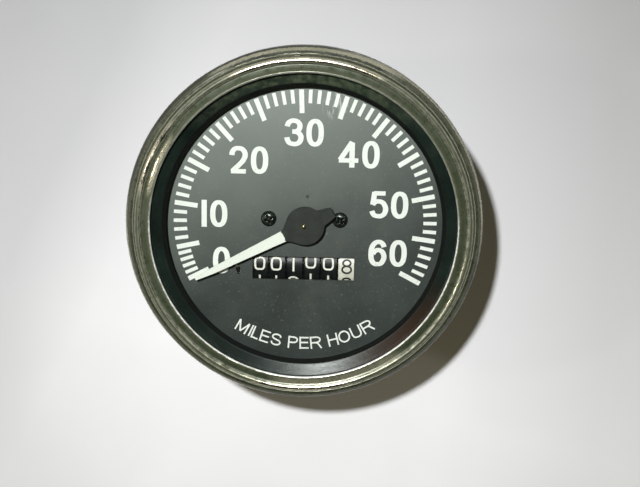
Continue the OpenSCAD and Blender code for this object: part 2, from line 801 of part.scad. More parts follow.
// Die-cast base with the posts and the boss that carry the gear train
module base_frame() {
    rim_w = 1.5;
    rim_h = 2;
    boss_d = 5;
    color("#a3a59f")
    difference() {
        union() {
            translate([0, 0, base_z])
                cylinder(h = base_t, r = frame_r);
            translate([0, 0, base_top_z - sink])
                difference() {
                    cylinder(h = rim_h + sink, r = frame_r);
                    translate([0, 0, -1])
                        cylinder(h = rim_h + sink + 2, r = frame_r - rim_w);
                    at_pillars()
                        translate([0, 0, -1])
                            cylinder(h = rim_h + 3, r = pillar_d / 2 + 0.8, $fn = 48);
                }
            cross_post(cross_front_y + air_gap);
            cross_post(cross_back_y - air_gap - cross_post_t);
            translate([upright_x, upright_y, base_top_z - sink])
                cylinder(h = upright_boss_h + sink, d = boss_d, $fn = 48);
        }
        translate([0, 0, base_z - 1])
            cylinder(h = nose_flange_t + 1, r = nose_flange_r + press_gap);
        translate([0, 0, base_z - 1])
            cylinder(h = base_t + 2, r = drive_d / 2 + 2.8, $fn = 48);
        at_pillars()
            translate([0, 0, base_z - 1])
                cylinder(h = base_t + 2, d = rear_shank_d + 2 * press_gap, $fn = 32);
        translate([upright_x, upright_y, base_top_z - 1.5])
            cylinder(h = upright_boss_h + 5, r = train_shaft_d / 2 + run_gap, $fn = 32);
    }
}

bush_wall = 1.4;
bush_head_t = 0.7;
bush_head_w = 0.8;
washer_t = 0.5;
drive_collar_t = 1;
drive_r = drive_d / 2;
drive_bush_r = drive_r + run_gap + bush_wall;
bush_head_z = nose_top_z + bush_head_t;
collar_z = bush_head_z + washer_t;

// Threaded nose that takes the cable's nut, with a flange inside the case
module drive_nose() {
    neck_r = nose_d / 2 - relief_depth;
    end_chamfer = 1;
    mouth_chamfer = 0.5;
    color("#a9aaa2")
    rotate_extrude()
        polygon([
            [nose_flange_r, base_z], [nose_flange_r, nose_top_z],
            [drive_bush_r + press_gap, nose_top_z], [drive_bush_r + press_gap, ferrule_end_z],
            [ferrule_d / 2, ferrule_end_z], [ferrule_d / 2, nose_end_z + mouth_chamfer],
            [ferrule_d / 2 + mouth_chamfer, nose_end_z], [nose_d / 2 - end_chamfer, nose_end_z],
            [nose_d / 2, nose_end_z + end_chamfer], [nose_d / 2, rear_z - relief_w],
            [neck_r, rear_z - relief_w], [neck_r, base_z]]);
}

module drive_bush() {
    color("#a98a4c")
    rotate_extrude($fn = 64)
        polygon([
            [drive_r + run_gap, ferrule_end_z], [drive_bush_r, ferrule_end_z],
            [drive_bush_r, nose_top_z], [drive_bush_r + bush_head_w, nose_top_z],
            [drive_bush_r + bush_head_w, bush_head_z], [drive_r + run_gap, bush_head_z]]);
}

module thrust_washer() {
    color("#c9c9c4")
    translate([0, 0, bush_head_z])
        difference() {
            cylinder(h = washer_t, r = drive_bush_r + 0.4, $fn = 64);
            translate([0, 0, -1])
                cylinder(h = washer_t + 2, r = drive_r + run_gap, $fn = 64);
        }
}

// Input shaft with the square socket, the first worm and the seat of the magnet
module drive_shaft() {
    end_z = ferrule_end_z + 0.2;
    socket_depth = 8;
    flange_t = 1;
    core_r = worm_r - (worm_root_ded - 0.1) * worm_m;
    top_z = magnet_top_z + 0.2;
    color("#a8a9a5")
    difference() {
        union() {
            rotate_extrude($fn = 64)
                polygon([
                    [0, end_z], [drive_r - 0.4, end_z], [drive_r, end_z + 0.4],
                    [drive_r, collar_z + 0.05], [drive_bush_r + 0.2, collar_z + 0.05],
                    [drive_bush_r + 0.2, collar_z + drive_collar_t], [core_r, collar_z + drive_collar_t],
                    [core_r, field_z - flange_t - 1], [4.5, field_z - flange_t],
                    [4.5, field_z], [shaft_top_r, field_z], [shaft_top_r, top_z], [0, top_z]]);
            translate([0, 0, cross_z])
                worm(worm_m, -1);
        }
        translate([-square_w / 2, -square_w / 2, end_z - 1])
            cube([square_w, square_w, socket_depth + 1]);
        translate([0, 0, top_z - jewel_t])
            cylinder(h = jewel_t + 1, r = jewel_r + press_gap, $fn = 32);
    }
}

// Jewel cup in the shaft's end for the spindle's pivot
module pivot_jewel() {
    top_z = magnet_top_z + 0.2;
    color("#9c3146")
    translate([0, 0, top_z - jewel_t])
        difference() {
            cylinder(h = jewel_t, r = jewel_r, $fn = 32);
            translate([0, 0, 0.3])
                cylinder(h = jewel_t, r = pivot_d / 2 + run_gap, $fn = 32);
        }
}

module magnet() {
    color("#3b3d3e")
    translate([0, 0, magnet_z])
        difference() {
            cylinder(h = magnet_t, d = magnet_d);
            translate([0, 0, -1])
                cylinder(h = magnet_t + 2, r = shaft_top_r + press_gap, $fn = 48);
        }
}

// Steel cup round the speed cup, turning with the magnet
module field_cup() {
    wall_h = field_wall + magnet_t + 0.4;
    color("#8d8f8c")
    translate([0, 0, field_z])
        difference() {
            cylinder(h = wall_h, d = field_d);
            translate([0, 0, field_wall])
                cylinder(h = wall_h, r = field_d / 2 - field_wall);
            translate([0, 0, -1])
                cylinder(h = field_wall + 2, r = shaft_top_r + press_gap, $fn = 48);
        }
}

module cross_shaft() {
    y0 = cross_back_y - air_gap - cross_post_t;
    y1 = cross_front_y + air_gap + cross_post_t;
    color("#b4b5b1")
    translate([cross_x, y0, cross_z])
        along_y()
            cylinder(h = y1 - y0, d = train_shaft_d, $fn = 32);
}

// Moulded wheel and worm on the cross shaft
module cross_gear() {
    tube_r = train_shaft_d / 2 + gear_tube_w;
    color("#e6e2d3")
    difference() {
        union() {
            translate([cross_x, 0, cross_z])
                along_y()
                    worm_wheel(worm_m, -1);
            translate([cross_x, cross_back_y, cross_z])
                along_y()
                    cylinder(h = cross_front_y - cross_back_y, r = tube_r, $fn = 48);
            translate([cross_x, upright_y, cross_z])
                along_y()
                    worm(worm_m, 1);
        }
        translate([cross_x, cross_back_y - 1, cross_z])
            along_y()
                cylinder(h = cross_front_y - cross_back_y + 2, r = train_shaft_d / 2 + press_gap, $fn = 32);
    }
}

module upright_shaft() {
    z0 = base_top_z - 1.4;
    color("#b4b5b1")
    translate([upright_x, upright_y, z0])
        cylinder(h = dial_back_z - 0.4 - z0, d = train_shaft_d, $fn = 32);
}

// Wheel of the second stage, with a hub that stands on the base's boss
module upright_gear() {
    hub_r = train_shaft_d / 2 + gear_hub_w;
    hub_z = base_top_z + upright_boss_h + 0.1;
    color("#e6e2d3")
    translate([upright_x, upright_y, 0])
        difference() {
            union() {
                translate([0, 0, cross_z])
                    worm_wheel(worm_m, 1);
                translate([0, 0, hub_z])
                    cylinder(h = cross_z - hub_z + worm_face_w / 2 + 1.2, r = hub_r, $fn = 48);
            }
            translate([0, 0, hub_z - 1])
                cylinder(h = 14, r = train_shaft_d / 2 + press_gap, $fn = 32);
        }
}

module upright_worm() {
    collar_h = 1.2;
    length = worm_pitches * PI * odo_m;
    color("#e6e2d3")
    translate([upright_x, upright_y, odo_z])
        difference() {
            union() {
                rotate([0, 0, 90])
                    worm(odo_m, 1);
                translate([0, 0, -length / 2 - collar_h])
                    cylinder(h = collar_h + sink, r = odo_worm_r - (worm_root_ded + 0.1) * odo_m, $fn = 48);
            }
            translate([0, 0, -length])
                cylinder(h = 2 * length, r = train_shaft_d / 2 + press_gap, $fn = 32);
        }
}

// U-shaped sheet frame of the odometer, hung under the top plate
module odometer_frame() {
    back_y = pinion_y - pinion_r - transfer_m - 0.5;
    low_z = odo_z - 3;
    tab_w = 5;
    tab_l = 5.4;
    side = [[back_y - odo_sheet_t, low_z], [odo_y + 3.6, low_z], [odo_y + 3.6, odo_z + 2],
            [odo_tab_y + tab_w / 2, top_plate_z - 1], [odo_tab_y + tab_w / 2, top_plate_z],
            [odo_tab_y - tab_w / 2 - 4, top_plate_z], [back_y - odo_sheet_t, odo_z + 3]];
    color("#9fa19b")
    difference() {
        union() {
            for (side_x = [-odo_side_out_x, odo_side_x])
                translate([side_x, 0, 0])
                    along_x()
                        linear_extrude(odo_sheet_t)
                            polygon(side);
            translate([-odo_side_out_x, back_y - odo_sheet_t, low_z])
                cube([2 * odo_side_out_x, odo_sheet_t, 6]);
            for (s = [-1, 1])
                translate([s * (odo_side_x + tab_l / 2), odo_tab_y, top_plate_z - odo_sheet_t / 2])
                    cube([tab_l, tab_w, odo_sheet_t], center = true);
        }
        translate([-odo_bore_x, odo_y, odo_z])
            along_x()
                cylinder(h = 2 * odo_bore_x, r = odo_shaft_d / 2 + run_gap, $fn = 48);
        translate([-odo_bore_x, pinion_y, odo_z])
            along_x()
                cylinder(h = 2 * odo_bore_x, r = pinion_shaft_d / 2 + press_gap, $fn = 32);
        for (s = [-1, 1])
            translate([s * odo_tab_x, odo_tab_y, top_plate_z - 2])
                cylinder(h = 3, d = odo_screw_d + 2 * press_gap, $fn = 32);
    }
}

module odometer_screws() {
    color("#8e8f89")
    for (s = [-1, 1])
        translate([s * odo_tab_x, odo_tab_y, dial_back_z])
            flush_screw(odo_screw_head_d, odo_screw_d, odo_screw_l, $fn = 48);
}

module odometer_shaft() {
    x0 = -odo_side_out_x - 1;
    x1 = upright_x + worm_face_w / 2 + 0.6;
    color("#b4b5b1")
    translate([x0, odo_y, odo_z])
        along_x()
            cylinder(h = x1 - x0, d = odo_shaft_d, $fn = 48);
}

module odometer_gear() {
    color("#e6e2d3")
    translate([upright_x, odo_y, odo_z])
        along_x()
            difference() {
                worm_wheel(odo_m, 1);
                cylinder(h = 20, r = odo_shaft_d / 2 + press_gap, center = true, $fn = 48);
            }
}

// Disc that turns the next wheel's pinion once a turn, with a notch between two teeth
module driver_disc() {
    lock_r = ring_r + pinion_r - 3.3 * transfer_m * 1.18;
    notch_a = 14;
    difference() {
        circle(r = lock_r);
        circle(r = ring_r - 2.3 * transfer_m);
        polygon([[0, 0], [2 * ring_r, 2 * ring_r * tan(notch_a)], [2 * ring_r, -2 * ring_r * tan(notch_a)]]);
    }
    intersection() {
        difference() {
            polygon(gear_outline(transfer_m, ring_teeth));
            circle(r = ring_r - 2.3 * transfer_m);
        }
        polygon([[0, 0], [2 * ring_r, 2 * ring_r * tan(15)], [2 * ring_r, -2 * ring_r * tan(15)]]);
    }
}

// A number wheel round +Z: toothed ring on its right face, driver disc on its left
module number_wheel(k) {
    hub_r = odo_shaft_d / 2 + 1.2;
    hub_l = wheel_pitch - 0.15;
    web_r = ring_r - 2.3 * transfer_m;
    bore_gap = k == 0 ? press_gap : run_gap;
    translate([wheel_x(k), odo_y, odo_z])
        along_x()
            difference() {
                union() {
                    difference() {
                        cylinder(h = wheel_w, r = wheel_r, center = true);
                        for (s = [-1, 1])
                            translate([0, 0, s * wheel_w * 0.65])
                                difference() {
                                    cylinder(h = wheel_w, r = web_r - 0.6, center = true);
                                    cylinder(h = wheel_w + 1, r = hub_r, center = true, $fn = 48);
                                }
                    }
                    cylinder(h = hub_l, r = hub_r, center = true, $fn = 48);
                    if (k > 0)
                        translate([0, 0, wheel_w / 2 - sink])
                            linear_extrude(ring_t + sink)
                                difference() {
                                    rotate([0, 0, 180 / ring_teeth])
                                        polygon(gear_outline(transfer_m, ring_teeth));
                                    circle(r = web_r);
                                }
                    if (k < wheel_count - 1)
                        translate([0, 0, -wheel_w / 2 - ring_t])
                            linear_extrude(ring_t + sink)
                                driver_disc();
                }
                cylinder(h = 20, r = odo_shaft_d / 2 + bore_gap, center = true, $fn = 48);
            }
}

module tenths_wheel() {
    color("#e8e6db") number_wheel(0);
}

module units_wheel() {
    color("#1b1b1a") number_wheel(1);
}

module tens_wheel() {
    color("#1b1b1a") number_wheel(2);
}

module hundreds_wheel() {
    color("#1b1b1a") number_wheel(3);
}

module thousands_wheel() {
    color("#1b1b1a") number_wheel(4);
}

module ten_thousands_wheel() {
    color("#1b1b1a") number_wheel(5);
}

module pinion_shaft() {
    color("#b4b5b1")
    translate([-odo_side_out_x - 0.4, pinion_y, odo_z])
        along_x()
            cylinder(h = 2 * odo_side_out_x + 0.8, d = pinion_shaft_d, $fn = 32);
}

// Transfer pinion left of wheel k - 1: every second tooth is cut back to pass the lock disc
module transfer_pinion(k) {
    tooth_w = wheel_gap_w - 0.15;
    color("#b08d45")
    translate([wheel_x(k - 1) - wheel_pitch / 2, pinion_y, odo_z])
        along_x()
            difference() {
                union() {
                    translate([0, 0, -tooth_w / 2])
                        linear_extrude(tooth_w / 2 - 0.02)
                            polygon(gear_outline(transfer_m, pinion_teeth));
                    translate([0, 0, -tooth_w / 2])
                        linear_extrude(tooth_w)
                            intersection() {
                                polygon(gear_outline(transfer_m, pinion_teeth));
                                union() {
                                    circle(r = pinion_r - transfer_m * 1.1);
                                    for (i = [0 : 3])
                                        rotate([0, 0, 45 + 90 * i])
                                            translate([0, -transfer_m])
                                                square([2 * pinion_r, 2 * transfer_m]);
                                }
                            }
                    translate([0, 0, -wheel_pitch + tooth_w / 2 + 0.15])
                        cylinder(h = wheel_pitch - tooth_w, r = pinion_hub_r, $fn = 32);
                }
                cylinder(h = 20, r = pinion_shaft_d / 2 + run_gap, center = true, $fn = 32);
            }
}

// Studs welded to the rear for the instrument's clamp
module mounting_studs() {
    collar_d = stud_d + 3.2;
    collar_t = 1.2;
    chamfer = 0.6;
    color("#a9aaa2")
    at_studs()
        translate([0, 0, rear_z])
            rotate([180, 0, 0])
                rotate_extrude($fn = 48)
                    polygon([
                        [0, 0], [collar_d / 2, 0], [collar_d / 2, collar_t], [stud_d / 2, collar_t],
                        [stud_d / 2, stud_len - chamfer], [stud_d / 2 - chamfer, stud_len], [0, stud_len]]);
}

case();
bezel();
glass();
glass_gasket();
visor_ring();
dial_plate();
dial_screws();
stop_wire();
pointer();
pointer_boss();
spindle();
speed_cup();
hairspring_collet();
hairspring();
hairspring_anchor();
top_plate();
spindle_bush();
frame_pillars();
pillar_screws();
base_frame();
drive_nose();
drive_bush();
thrust_washer();
drive_shaft();
pivot_jewel();
magnet();
field_cup();
cross_shaft();
cross_gear();
upright_shaft();
upright_gear();
upright_worm();
odometer_frame();
odometer_screws();
odometer_shaft();
odometer_gear();
tenths_wheel();
units_wheel();
tens_wheel();
hundreds_wheel();
thousands_wheel();
ten_thousands_wheel();
pinion_shaft();
transfer_pinion(1);  // transfer_pinion_1
transfer_pinion(2);  // transfer_pinion_2
transfer_pinion(3);  // transfer_pinion_3
transfer_pinion(4);  // transfer_pinion_4
transfer_pinion(5);  // transfer_pinion_5
mounting_studs();
movement_screws();
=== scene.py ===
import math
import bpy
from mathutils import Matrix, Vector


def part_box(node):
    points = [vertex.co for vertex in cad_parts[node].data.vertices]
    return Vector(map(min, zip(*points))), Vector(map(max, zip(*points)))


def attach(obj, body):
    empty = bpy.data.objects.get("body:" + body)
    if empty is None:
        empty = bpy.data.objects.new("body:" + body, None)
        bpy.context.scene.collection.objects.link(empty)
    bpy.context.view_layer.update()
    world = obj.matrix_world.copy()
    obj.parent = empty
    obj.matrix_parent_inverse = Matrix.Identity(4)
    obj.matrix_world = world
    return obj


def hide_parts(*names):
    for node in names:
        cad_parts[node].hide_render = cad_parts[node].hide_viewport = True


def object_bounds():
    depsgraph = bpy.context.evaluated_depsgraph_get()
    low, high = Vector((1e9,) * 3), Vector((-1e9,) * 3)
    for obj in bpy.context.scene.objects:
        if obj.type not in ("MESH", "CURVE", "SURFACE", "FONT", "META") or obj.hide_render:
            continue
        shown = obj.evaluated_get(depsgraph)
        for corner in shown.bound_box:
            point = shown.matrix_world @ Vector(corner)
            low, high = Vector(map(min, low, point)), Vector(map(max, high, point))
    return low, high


bl_info = {
    "name": "Panel Speedometer",
    "version": (1, 0, 0),
    "blender": (4, 5, 0),
    "location": "View3D > Sidebar > Speedometer",
    "description": "Dresses a panel speedometer: plating, glass, printed dial and number drums",
    "category": "Object",
}

from functools import partial

import bmesh
import bpy
from bpy.props import FloatProperty, FloatVectorProperty, PointerProperty, StringProperty
from bpy.types import Operator, Panel, PropertyGroup
from mathutils import Matrix, Vector

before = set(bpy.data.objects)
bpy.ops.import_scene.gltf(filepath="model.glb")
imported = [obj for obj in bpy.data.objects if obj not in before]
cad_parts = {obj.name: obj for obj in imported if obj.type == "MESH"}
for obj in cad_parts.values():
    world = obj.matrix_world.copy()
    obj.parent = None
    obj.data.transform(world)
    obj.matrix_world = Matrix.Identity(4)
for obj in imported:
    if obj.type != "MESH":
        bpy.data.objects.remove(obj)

MM = 0.001
CAD_BOX = [list(corner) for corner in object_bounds()]


# Sizes that the solids give, in millimetres


def box_mm(node):
    """Lowest and highest corner of a solid, in millimetres."""
    low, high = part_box(node)
    return low / MM, high / MM


DIAL_TOP = box_mm("dial_plate")[1].z
# Each number drum and the body that it turns with, from the tenths up
DRUMS = (
    ("tenths_wheel", "odometer_drive"),
    ("units_wheel", "units_drum"),
    ("tens_wheel", "tens_drum"),
    ("hundreds_wheel", "hundreds_drum"),
    ("thousands_wheel", "thousands_drum"),
    ("ten_thousands_wheel", "ten_thousands_drum"),
)
FULL_TURN = 2 * math.pi


# Settings

LENGTH = {"min": 0, "precision": 5, "unit": "LENGTH"}


class DialSettings(PropertyGroup):
    lacquer: StringProperty(
        name="Lacquer", description="Colour of the dial's lacquer, as sRGB hex", default="#3a403d"
    )
    print_colour: StringProperty(
        name="Print", description="Colour of the printed marks, as sRGB hex", default="#f1f2ee"
    )
    tick_outer: FloatProperty(
        name="Marks' outer radius", description="Where the marks end", default=0.03427, **LENGTH
    )
    minor_mark: FloatVectorProperty(
        name="Minor mark", description="Length and width of a minor mark", size=2,
        default=(0.00345, 0.00093), **LENGTH
    )
    major_mark: FloatVectorProperty(
        name="Major mark", description="Length and width of a major mark", size=2,
        default=(0.006, 0.00124), **LENGTH
    )
    figure_height: FloatProperty(
        name="Figures' height", description="Height of the figures", default=0.00712, **LENGTH
    )
    legend_height: FloatProperty(
        name="Legend's height", description="Height of its letters", default=0.00327, **LENGTH
    )
    legend_radius: FloatProperty(
        name="Legend's radius", description="Radius of its middle line", default=0.03225, **LENGTH
    )


class OdometerSettings(PropertyGroup):
    figure_height: FloatProperty(
        name="Figures' height", description="Height on the black drums", default=0.0036, **LENGTH
    )
    figure_width: FloatProperty(
        name="Figures' width", description="Width of the drums' figures", default=0.0029, **LENGTH
    )
    stroke: FloatProperty(
        name="Stroke", description="Width of the figures' strokes", default=0.0005, **LENGTH
    )
    reading: StringProperty(
        name="Reading", description="Figures that show, from the tenths drum up", default="800100"
    )


class BezelSettings(PropertyGroup):
    tarnish: FloatProperty(
        name="Tarnish", description="How much brown dirt lies in the pits", default=1.0, min=0,
        max=1, subtype="FACTOR"
    )
    pit_size: FloatProperty(
        name="Pit size", description="Size of the pits in the plating", default=0.00035, **LENGTH
    )


class ThreadSettings(PropertyGroup):
    nose: FloatVectorProperty(
        name="Nose thread", description="Its diameter and pitch", size=2,
        default=(0.0222, 0.001411), **LENGTH
    )
    stud: FloatVectorProperty(
        name="Stud thread", description="Its diameter and pitch", size=2,
        default=(0.00482, 0.000794), **LENGTH
    )


class StageSettings(PropertyGroup):
    key_power: FloatProperty(
        name="Key light", description="Power of the key light", default=2.0, min=0, unit="POWER"
    )
    ambient: FloatProperty(
        name="Ambient", description="Strength of the world's even light", default=0.085, min=0
    )
    ceiling: StringProperty(
        name="Ceiling", description="Colour of the room overhead, as sRGB hex", default="#2b2d29"
    )
    room_lean: FloatVectorProperty(
        name="Room", description="Direction in which the room grows dim", size=3,
        default=(0.15, -0.35, 1), subtype="XYZ"
    )
    paper: StringProperty(
        name="Paper", description="Colour of the background, as sRGB hex", default="#dcdddb"
    )


# Materials

# How strongly each finer layer of a noise shows
BREAK_UP = 0.55


def srgb(code):
    """The linear colour of an sRGB hex value."""
    parts = [int(code[i : i + 2], 16) / 255 for i in (1, 3, 5)]
    return (*(c / 12.92 if c <= 0.04045 else ((c + 0.055) / 1.055) ** 2.4 for c in parts), 1.0)


def add_node(tree, kind, *values, stops=(), **named):
    """Adds a node. The values fill its live sockets in order, names in lower case are its settings,
    names with a capital are its sockets, and stops are the places and colours of a ramp. A socket
    takes a number, an sRGB hex, a node's output, or a node for its first one."""
    made = tree.nodes.new("ShaderNode" + kind)
    for name in [name for name in named if name[0].islower()]:
        setattr(made, name, named.pop(name))
    for n, (place, code) in enumerate(stops):
        elements = made.color_ramp.elements
        element = elements[n] if n < 2 else elements.new(place)
        element.position, element.color = place, srgb(code)
    given = list(zip((s for s in made.inputs if s.enabled), values))
    given += [(made.inputs[name.replace("_", " ")], value) for name, value in named.items()]
    for socket, value in given:
        if isinstance(value, str):
            value = srgb(value)
        if isinstance(value, bpy.types.Node):
            value = next(s for s in value.outputs if s.enabled)
        if isinstance(value, bpy.types.NodeSocket):
            tree.links.new(value, socket)
        else:
            socket.default_value = value
    return made


def new_material(name):
    """An empty material, what adds a node to its tree, and its Object coordinates."""
    made = bpy.data.materials.new(name)
    made.use_nodes = True
    made.node_tree.nodes.clear()
    add = partial(add_node, made.node_tree)
    return made, add, add("TexCoord").outputs["Object"]


def fineness(size):
    """The scale of a noise whose spots are about size mm across."""
    return 0.7 / (size * MM)


def patchy(add, place, size, detail, low, high, to_low=0.0, to_high=1.0):
    """Noise with spots about size mm across, its range low to high spread over the other range."""
    noise = add("TexNoise", place, fineness(size), detail, BREAK_UP)
    return add("MapRange", noise, low, high, to_low, to_high)


def speckled(add, place, colour, code, size, detail, low, high, share=1.0):
    """A colour under spots of another, which hide up to a share of it where the noise is high."""
    cover = patchy(add, place, size, detail, low, high, 0.0, share)
    return add("Mix", cover, colour, code, data_type="RGBA")


def pebbled(add, place, size, detail, strength, depth):
    """Bumps about size mm across and depth mm high."""
    noise = add("TexNoise", place, fineness(size), detail, BREAK_UP)
    return add("Bump", Strength=strength, Distance=depth * MM, Height=noise)


def frayed(add, place, value, size, detail, reach):
    """The value moved to and fro within reach, in metres, by noise about size mm across."""
    noise = add("TexNoise", place, fineness(size), detail, BREAK_UP)
    swing = add("Math", noise, reach, -reach / 2, operation="MULTIPLY_ADD")
    return add("Math", value, swing, operation="ADD")


def zone(add, value, rise, fall, peak=1.0, mask=1.0):
    """Peak times the mask where the value lies between its rise and its fall, and 0 beyond them."""
    up = add("MapRange", value, *rise, 0.0, mask)
    down = add("MapRange", value, *fall, peak, 0.0)
    return add("Math", up, down, operation="MULTIPLY")


def background_ray(add):
    """1 where a ray shows the background: straight, in metal or through glass."""
    path = add("LightPath").outputs
    seen = add("Math", path["Is Camera Ray"], path["Is Glossy Ray"], operation="MAXIMUM")
    return add("Math", seen, path["Is Transmission Ray"], operation="MAXIMUM")


def finish(name, tints, spot, metallic, rough, dents, shine=0.5):
    """A finish in two or three mottled tints: spot is their size in mm, rough the roughness from
    smooth places to dull ones, dents (size in mm, strength), and shine the specular level."""
    made, add, place = new_material(name)
    size, strength = dents
    blotch = add("TexNoise", place, fineness(spot), 4.0, BREAK_UP)
    steps = [(0.34 + 0.32 * n / (len(tints) - 1), code) for n, code in enumerate(tints)]
    shader = add(
        "BsdfPrincipled",
        Base_Color=add("ValToRGB", blotch, stops=steps),
        Metallic=metallic,
        Roughness=patchy(add, place, spot * 0.6, 3.0, 0.35, 0.65, *rough),
        Normal=pebbled(add, place, size, 3.0, strength, size * 0.3),
        Specular_IOR_Level=shine,
    )
    add("OutputMaterial", shader)
    return made


def movement_finishes():
    """The finishes of the case and of the parts behind the dial, by the record's slot."""
    table = {
        # baked enamel on a drawn steel cup: satin black with a faint orange peel and greyed rubs
        "case_paint": (
            "baked enamel", ("#191b19", "#222421", "#33342f"), 9, 0, (0.34, 0.55), (0.9, 0.35)
        ),
        # moulded rubber ring: black, with a grey bloom
        "gasket": ("moulded rubber", ("#101010", "#1a1a19"), 2, 0, (0.6, 0.85), (0.3, 0.3)),
        # turned brass: yellow, browned where it was touched
        "brass": (
            "turned brass", ("#8c6d33", "#b9954b", "#caa65c"), 3, 1, (0.22, 0.42), (0.25, 0.12)
        ),
        # rolled phosphor bronze strip: redder than brass and evenly bright
        "spring_bronze": (
            "rolled bronze", ("#8f6234", "#b17e47"), 1.5, 1, (0.2, 0.35), (0.15, 0.1)
        ),
        # spun aluminium: pale, with a soft bloom of oxide
        "aluminium": ("spun aluminium", ("#a9acab", "#c6c8c7"), 4, 1, (0.3, 0.5), (0.2, 0.15)),
        # zinc plate on pressed steel: grey with straw clouds
        "zinc_plate": (
            "zinc plate", ("#82837a", "#9fa09a", "#aaa68f"), 5, 1, (0.3, 0.55), (0.25, 0.2)
        ),
        # ground steel rod: bright, with fine grinding marks
        "steel": ("ground steel", ("#8f9190", "#b0b2b1"), 2, 1, (0.18, 0.34), (0.12, 0.1)),
        # die-cast zinc as it leaves the die: pebbled and dull, with flow marks
        "die_cast": (
            "die-cast zinc", ("#74756f", "#8d8e88", "#9b9b93"), 7, 1, (0.42, 0.65), (0.5, 0.35)
        ),
        # sintered magnet alloy: dark grey and granular
        "magnet_alloy": ("sintered magnet", ("#2c2d2e", "#404143"), 1, 1, (0.45, 0.7), (0.25, 0.5)),
        # synthetic ruby: deep red and polished
        "jewel": ("synthetic ruby", ("#7c1228", "#9d1c34"), 0.6, 0, (0.04, 0.1), (0.2, 0.02)),
        # moulded acetal: milky white, with a soft sheen
        "gear_plastic": ("moulded acetal", ("#d5d0bf", "#e4e0d3"), 4, 0, (0.35, 0.5), (0.3, 0.08)),
        # moulded black styrene: glossy, with light dust, its shine low in the dial's shade
        "black_drum": (
            "black styrene", ("#0b0d0d", "#131616", "#1c1f1e"), 2.5, 0,
            (0.3, 0.4), (0.6, 0.04), 0.16,
        ),
        # moulded cream styrene, yellowed with age
        "white_drum": ("cream styrene", ("#cfcbbd", "#e6e3d8"), 2.5, 0, (0.25, 0.4), (0.3, 0.1)),
        # blackened steel wire and screws: the black is worn through in spots
        "black_screw": (
            "blackened steel", ("#161614", "#24231f", "#57554c"), 0.8, 0.6, (0.28, 0.5), (0.2, 0.3)
        ),
    }
    return {slot: finish(*look) for slot, look in table.items()}


def printed(name, code, worn):
    """Screen-printed enamel ink: flat and even, with a few thin places where it has chipped."""
    made, add, place = new_material(name)
    chipped = speckled(add, place, code, worn, 0.5, 4.0, 0.36, 0.3, 0.55)
    shader = add(
        "BsdfPrincipled",
        Base_Color=speckled(add, place, chipped, worn, 6, 3.0, 0.35, 0.65, 0.12),
        Roughness=patchy(add, place, 0.5, 4.0, 0.3, 0.7, 0.45, 0.65),
        Normal=pebbled(add, place, 0.25, 3.0, 0.25, 0.04),
    )
    add("OutputMaterial", shader)
    return made


def dial_lacquer(look):
    """Matt lacquer on sheet metal: grey-black and clouded, with painted light and shade across it,
    dust and a few scuffs.
    """
    made, add, place = new_material("matt dial lacquer")
    colour = speckled(add, place, look.lacquer, "#474e4a", 11, 4.0, 0.32, 0.68)
    # painted light and shade: paler towards the top left, darker towards the bottom right
    slant = add("VectorMath", place, (-0.34, 0.94, 0), operation="DOT_PRODUCT")
    shaded = add("Mix", 0.5, colour, "#151918", data_type="RGBA")
    painted_lit = add("Mix", 0.5, colour, "#8f978f", data_type="RGBA")
    fade = add("MapRange", slant, -0.012, 0.040)
    colour = add("Mix", fade, shaded, painted_lit, data_type="RGBA")
    # flecks of dust, and a brown patina
    colour = speckled(add, place, colour, "#a6aba4", 0.28, 2.0, 0.66, 0.74, 0.35)
    colour = speckled(add, place, colour, "#6d6a62", 4.5, 3.0, 0.56, 0.72, 0.1)
    # a scuffed patch by the top mark, and a nick above the pointer, in slanting strokes
    slanted = add("Mapping", place, Rotation=(0, 0, -0.75), Scale=(1, 0.16, 1))
    for spot, reach, low, high, code, strength in (
        ((0.0078, 0.0308), 0.0042, 0.54, 0.60, "#b4b9b1", 0.75),
        ((0.0007, 0.0071), 0.0006, 0.20, 0.30, "#1b1f1d", 0.9),
    ):
        away = add("VectorMath", place, (*spot, DIAL_TOP * MM), operation="DISTANCE")
        strokes = patchy(add, slanted, 0.35, 3.0, low, high, 0.0, strength)
        scuff = add("MapRange", away, reach * 0.5, reach, strokes, 0.0)
        colour = add("Mix", scuff, colour, code, data_type="RGBA")
    shader = add(
        "BsdfPrincipled",
        Base_Color=colour,
        Roughness=patchy(add, place, 11, 4.0, 0.3, 0.7, 0.34, 0.44),
        Normal=pebbled(add, place, 0.3, 3.0, 0.3, 0.05),
    )
    add("OutputMaterial", shader)
    return made


# Radii, in metres, between which the bezel's plating changes its shade, and the shades: the share
# of the way from the first radius to the second, and the colour there
PLATED = (0.0392, 0.0461)
# the shades are partly the plating's own colour, partly painted highlights and dark reflections
PLATING_PAINTED_REFLECTIONS = (
    # white inner edge, a painted highlight, and the dull trough
    (0.00, "#ffffff"), (0.03, "#eeefe4"), (0.045, "#8f927c"), (0.07, "#4e543f"),
    (0.145, "#484f3b"), (0.20, "#3d4431"), (0.275, "#464d38"), (0.325, "#31382a"),
    # painted highlights: the bright crest of the ridge, and a bright line on its outer side
    (0.37, "#5f6450"), (0.405, "#d3cfb6"), (0.435, "#636752"), (0.49, "#4a4e3f"),
    (0.53, "#626552"), (0.565, "#a9aa94"), (0.60, "#454a37"), (0.64, "#30372a"),
    # bead, with a painted highlight, shoulder and flank
    (0.68, "#93957c"), (0.703, "#272b20"), (0.755, "#323528"), (0.825, "#525442"),
    (0.885, "#313326"), (1.00, "#303228"),
)
# Painted highlight: the colour of bare metal, laid where the plating looks rubbed bright
PAINTED_HIGHLIGHT = "#ece3c8"


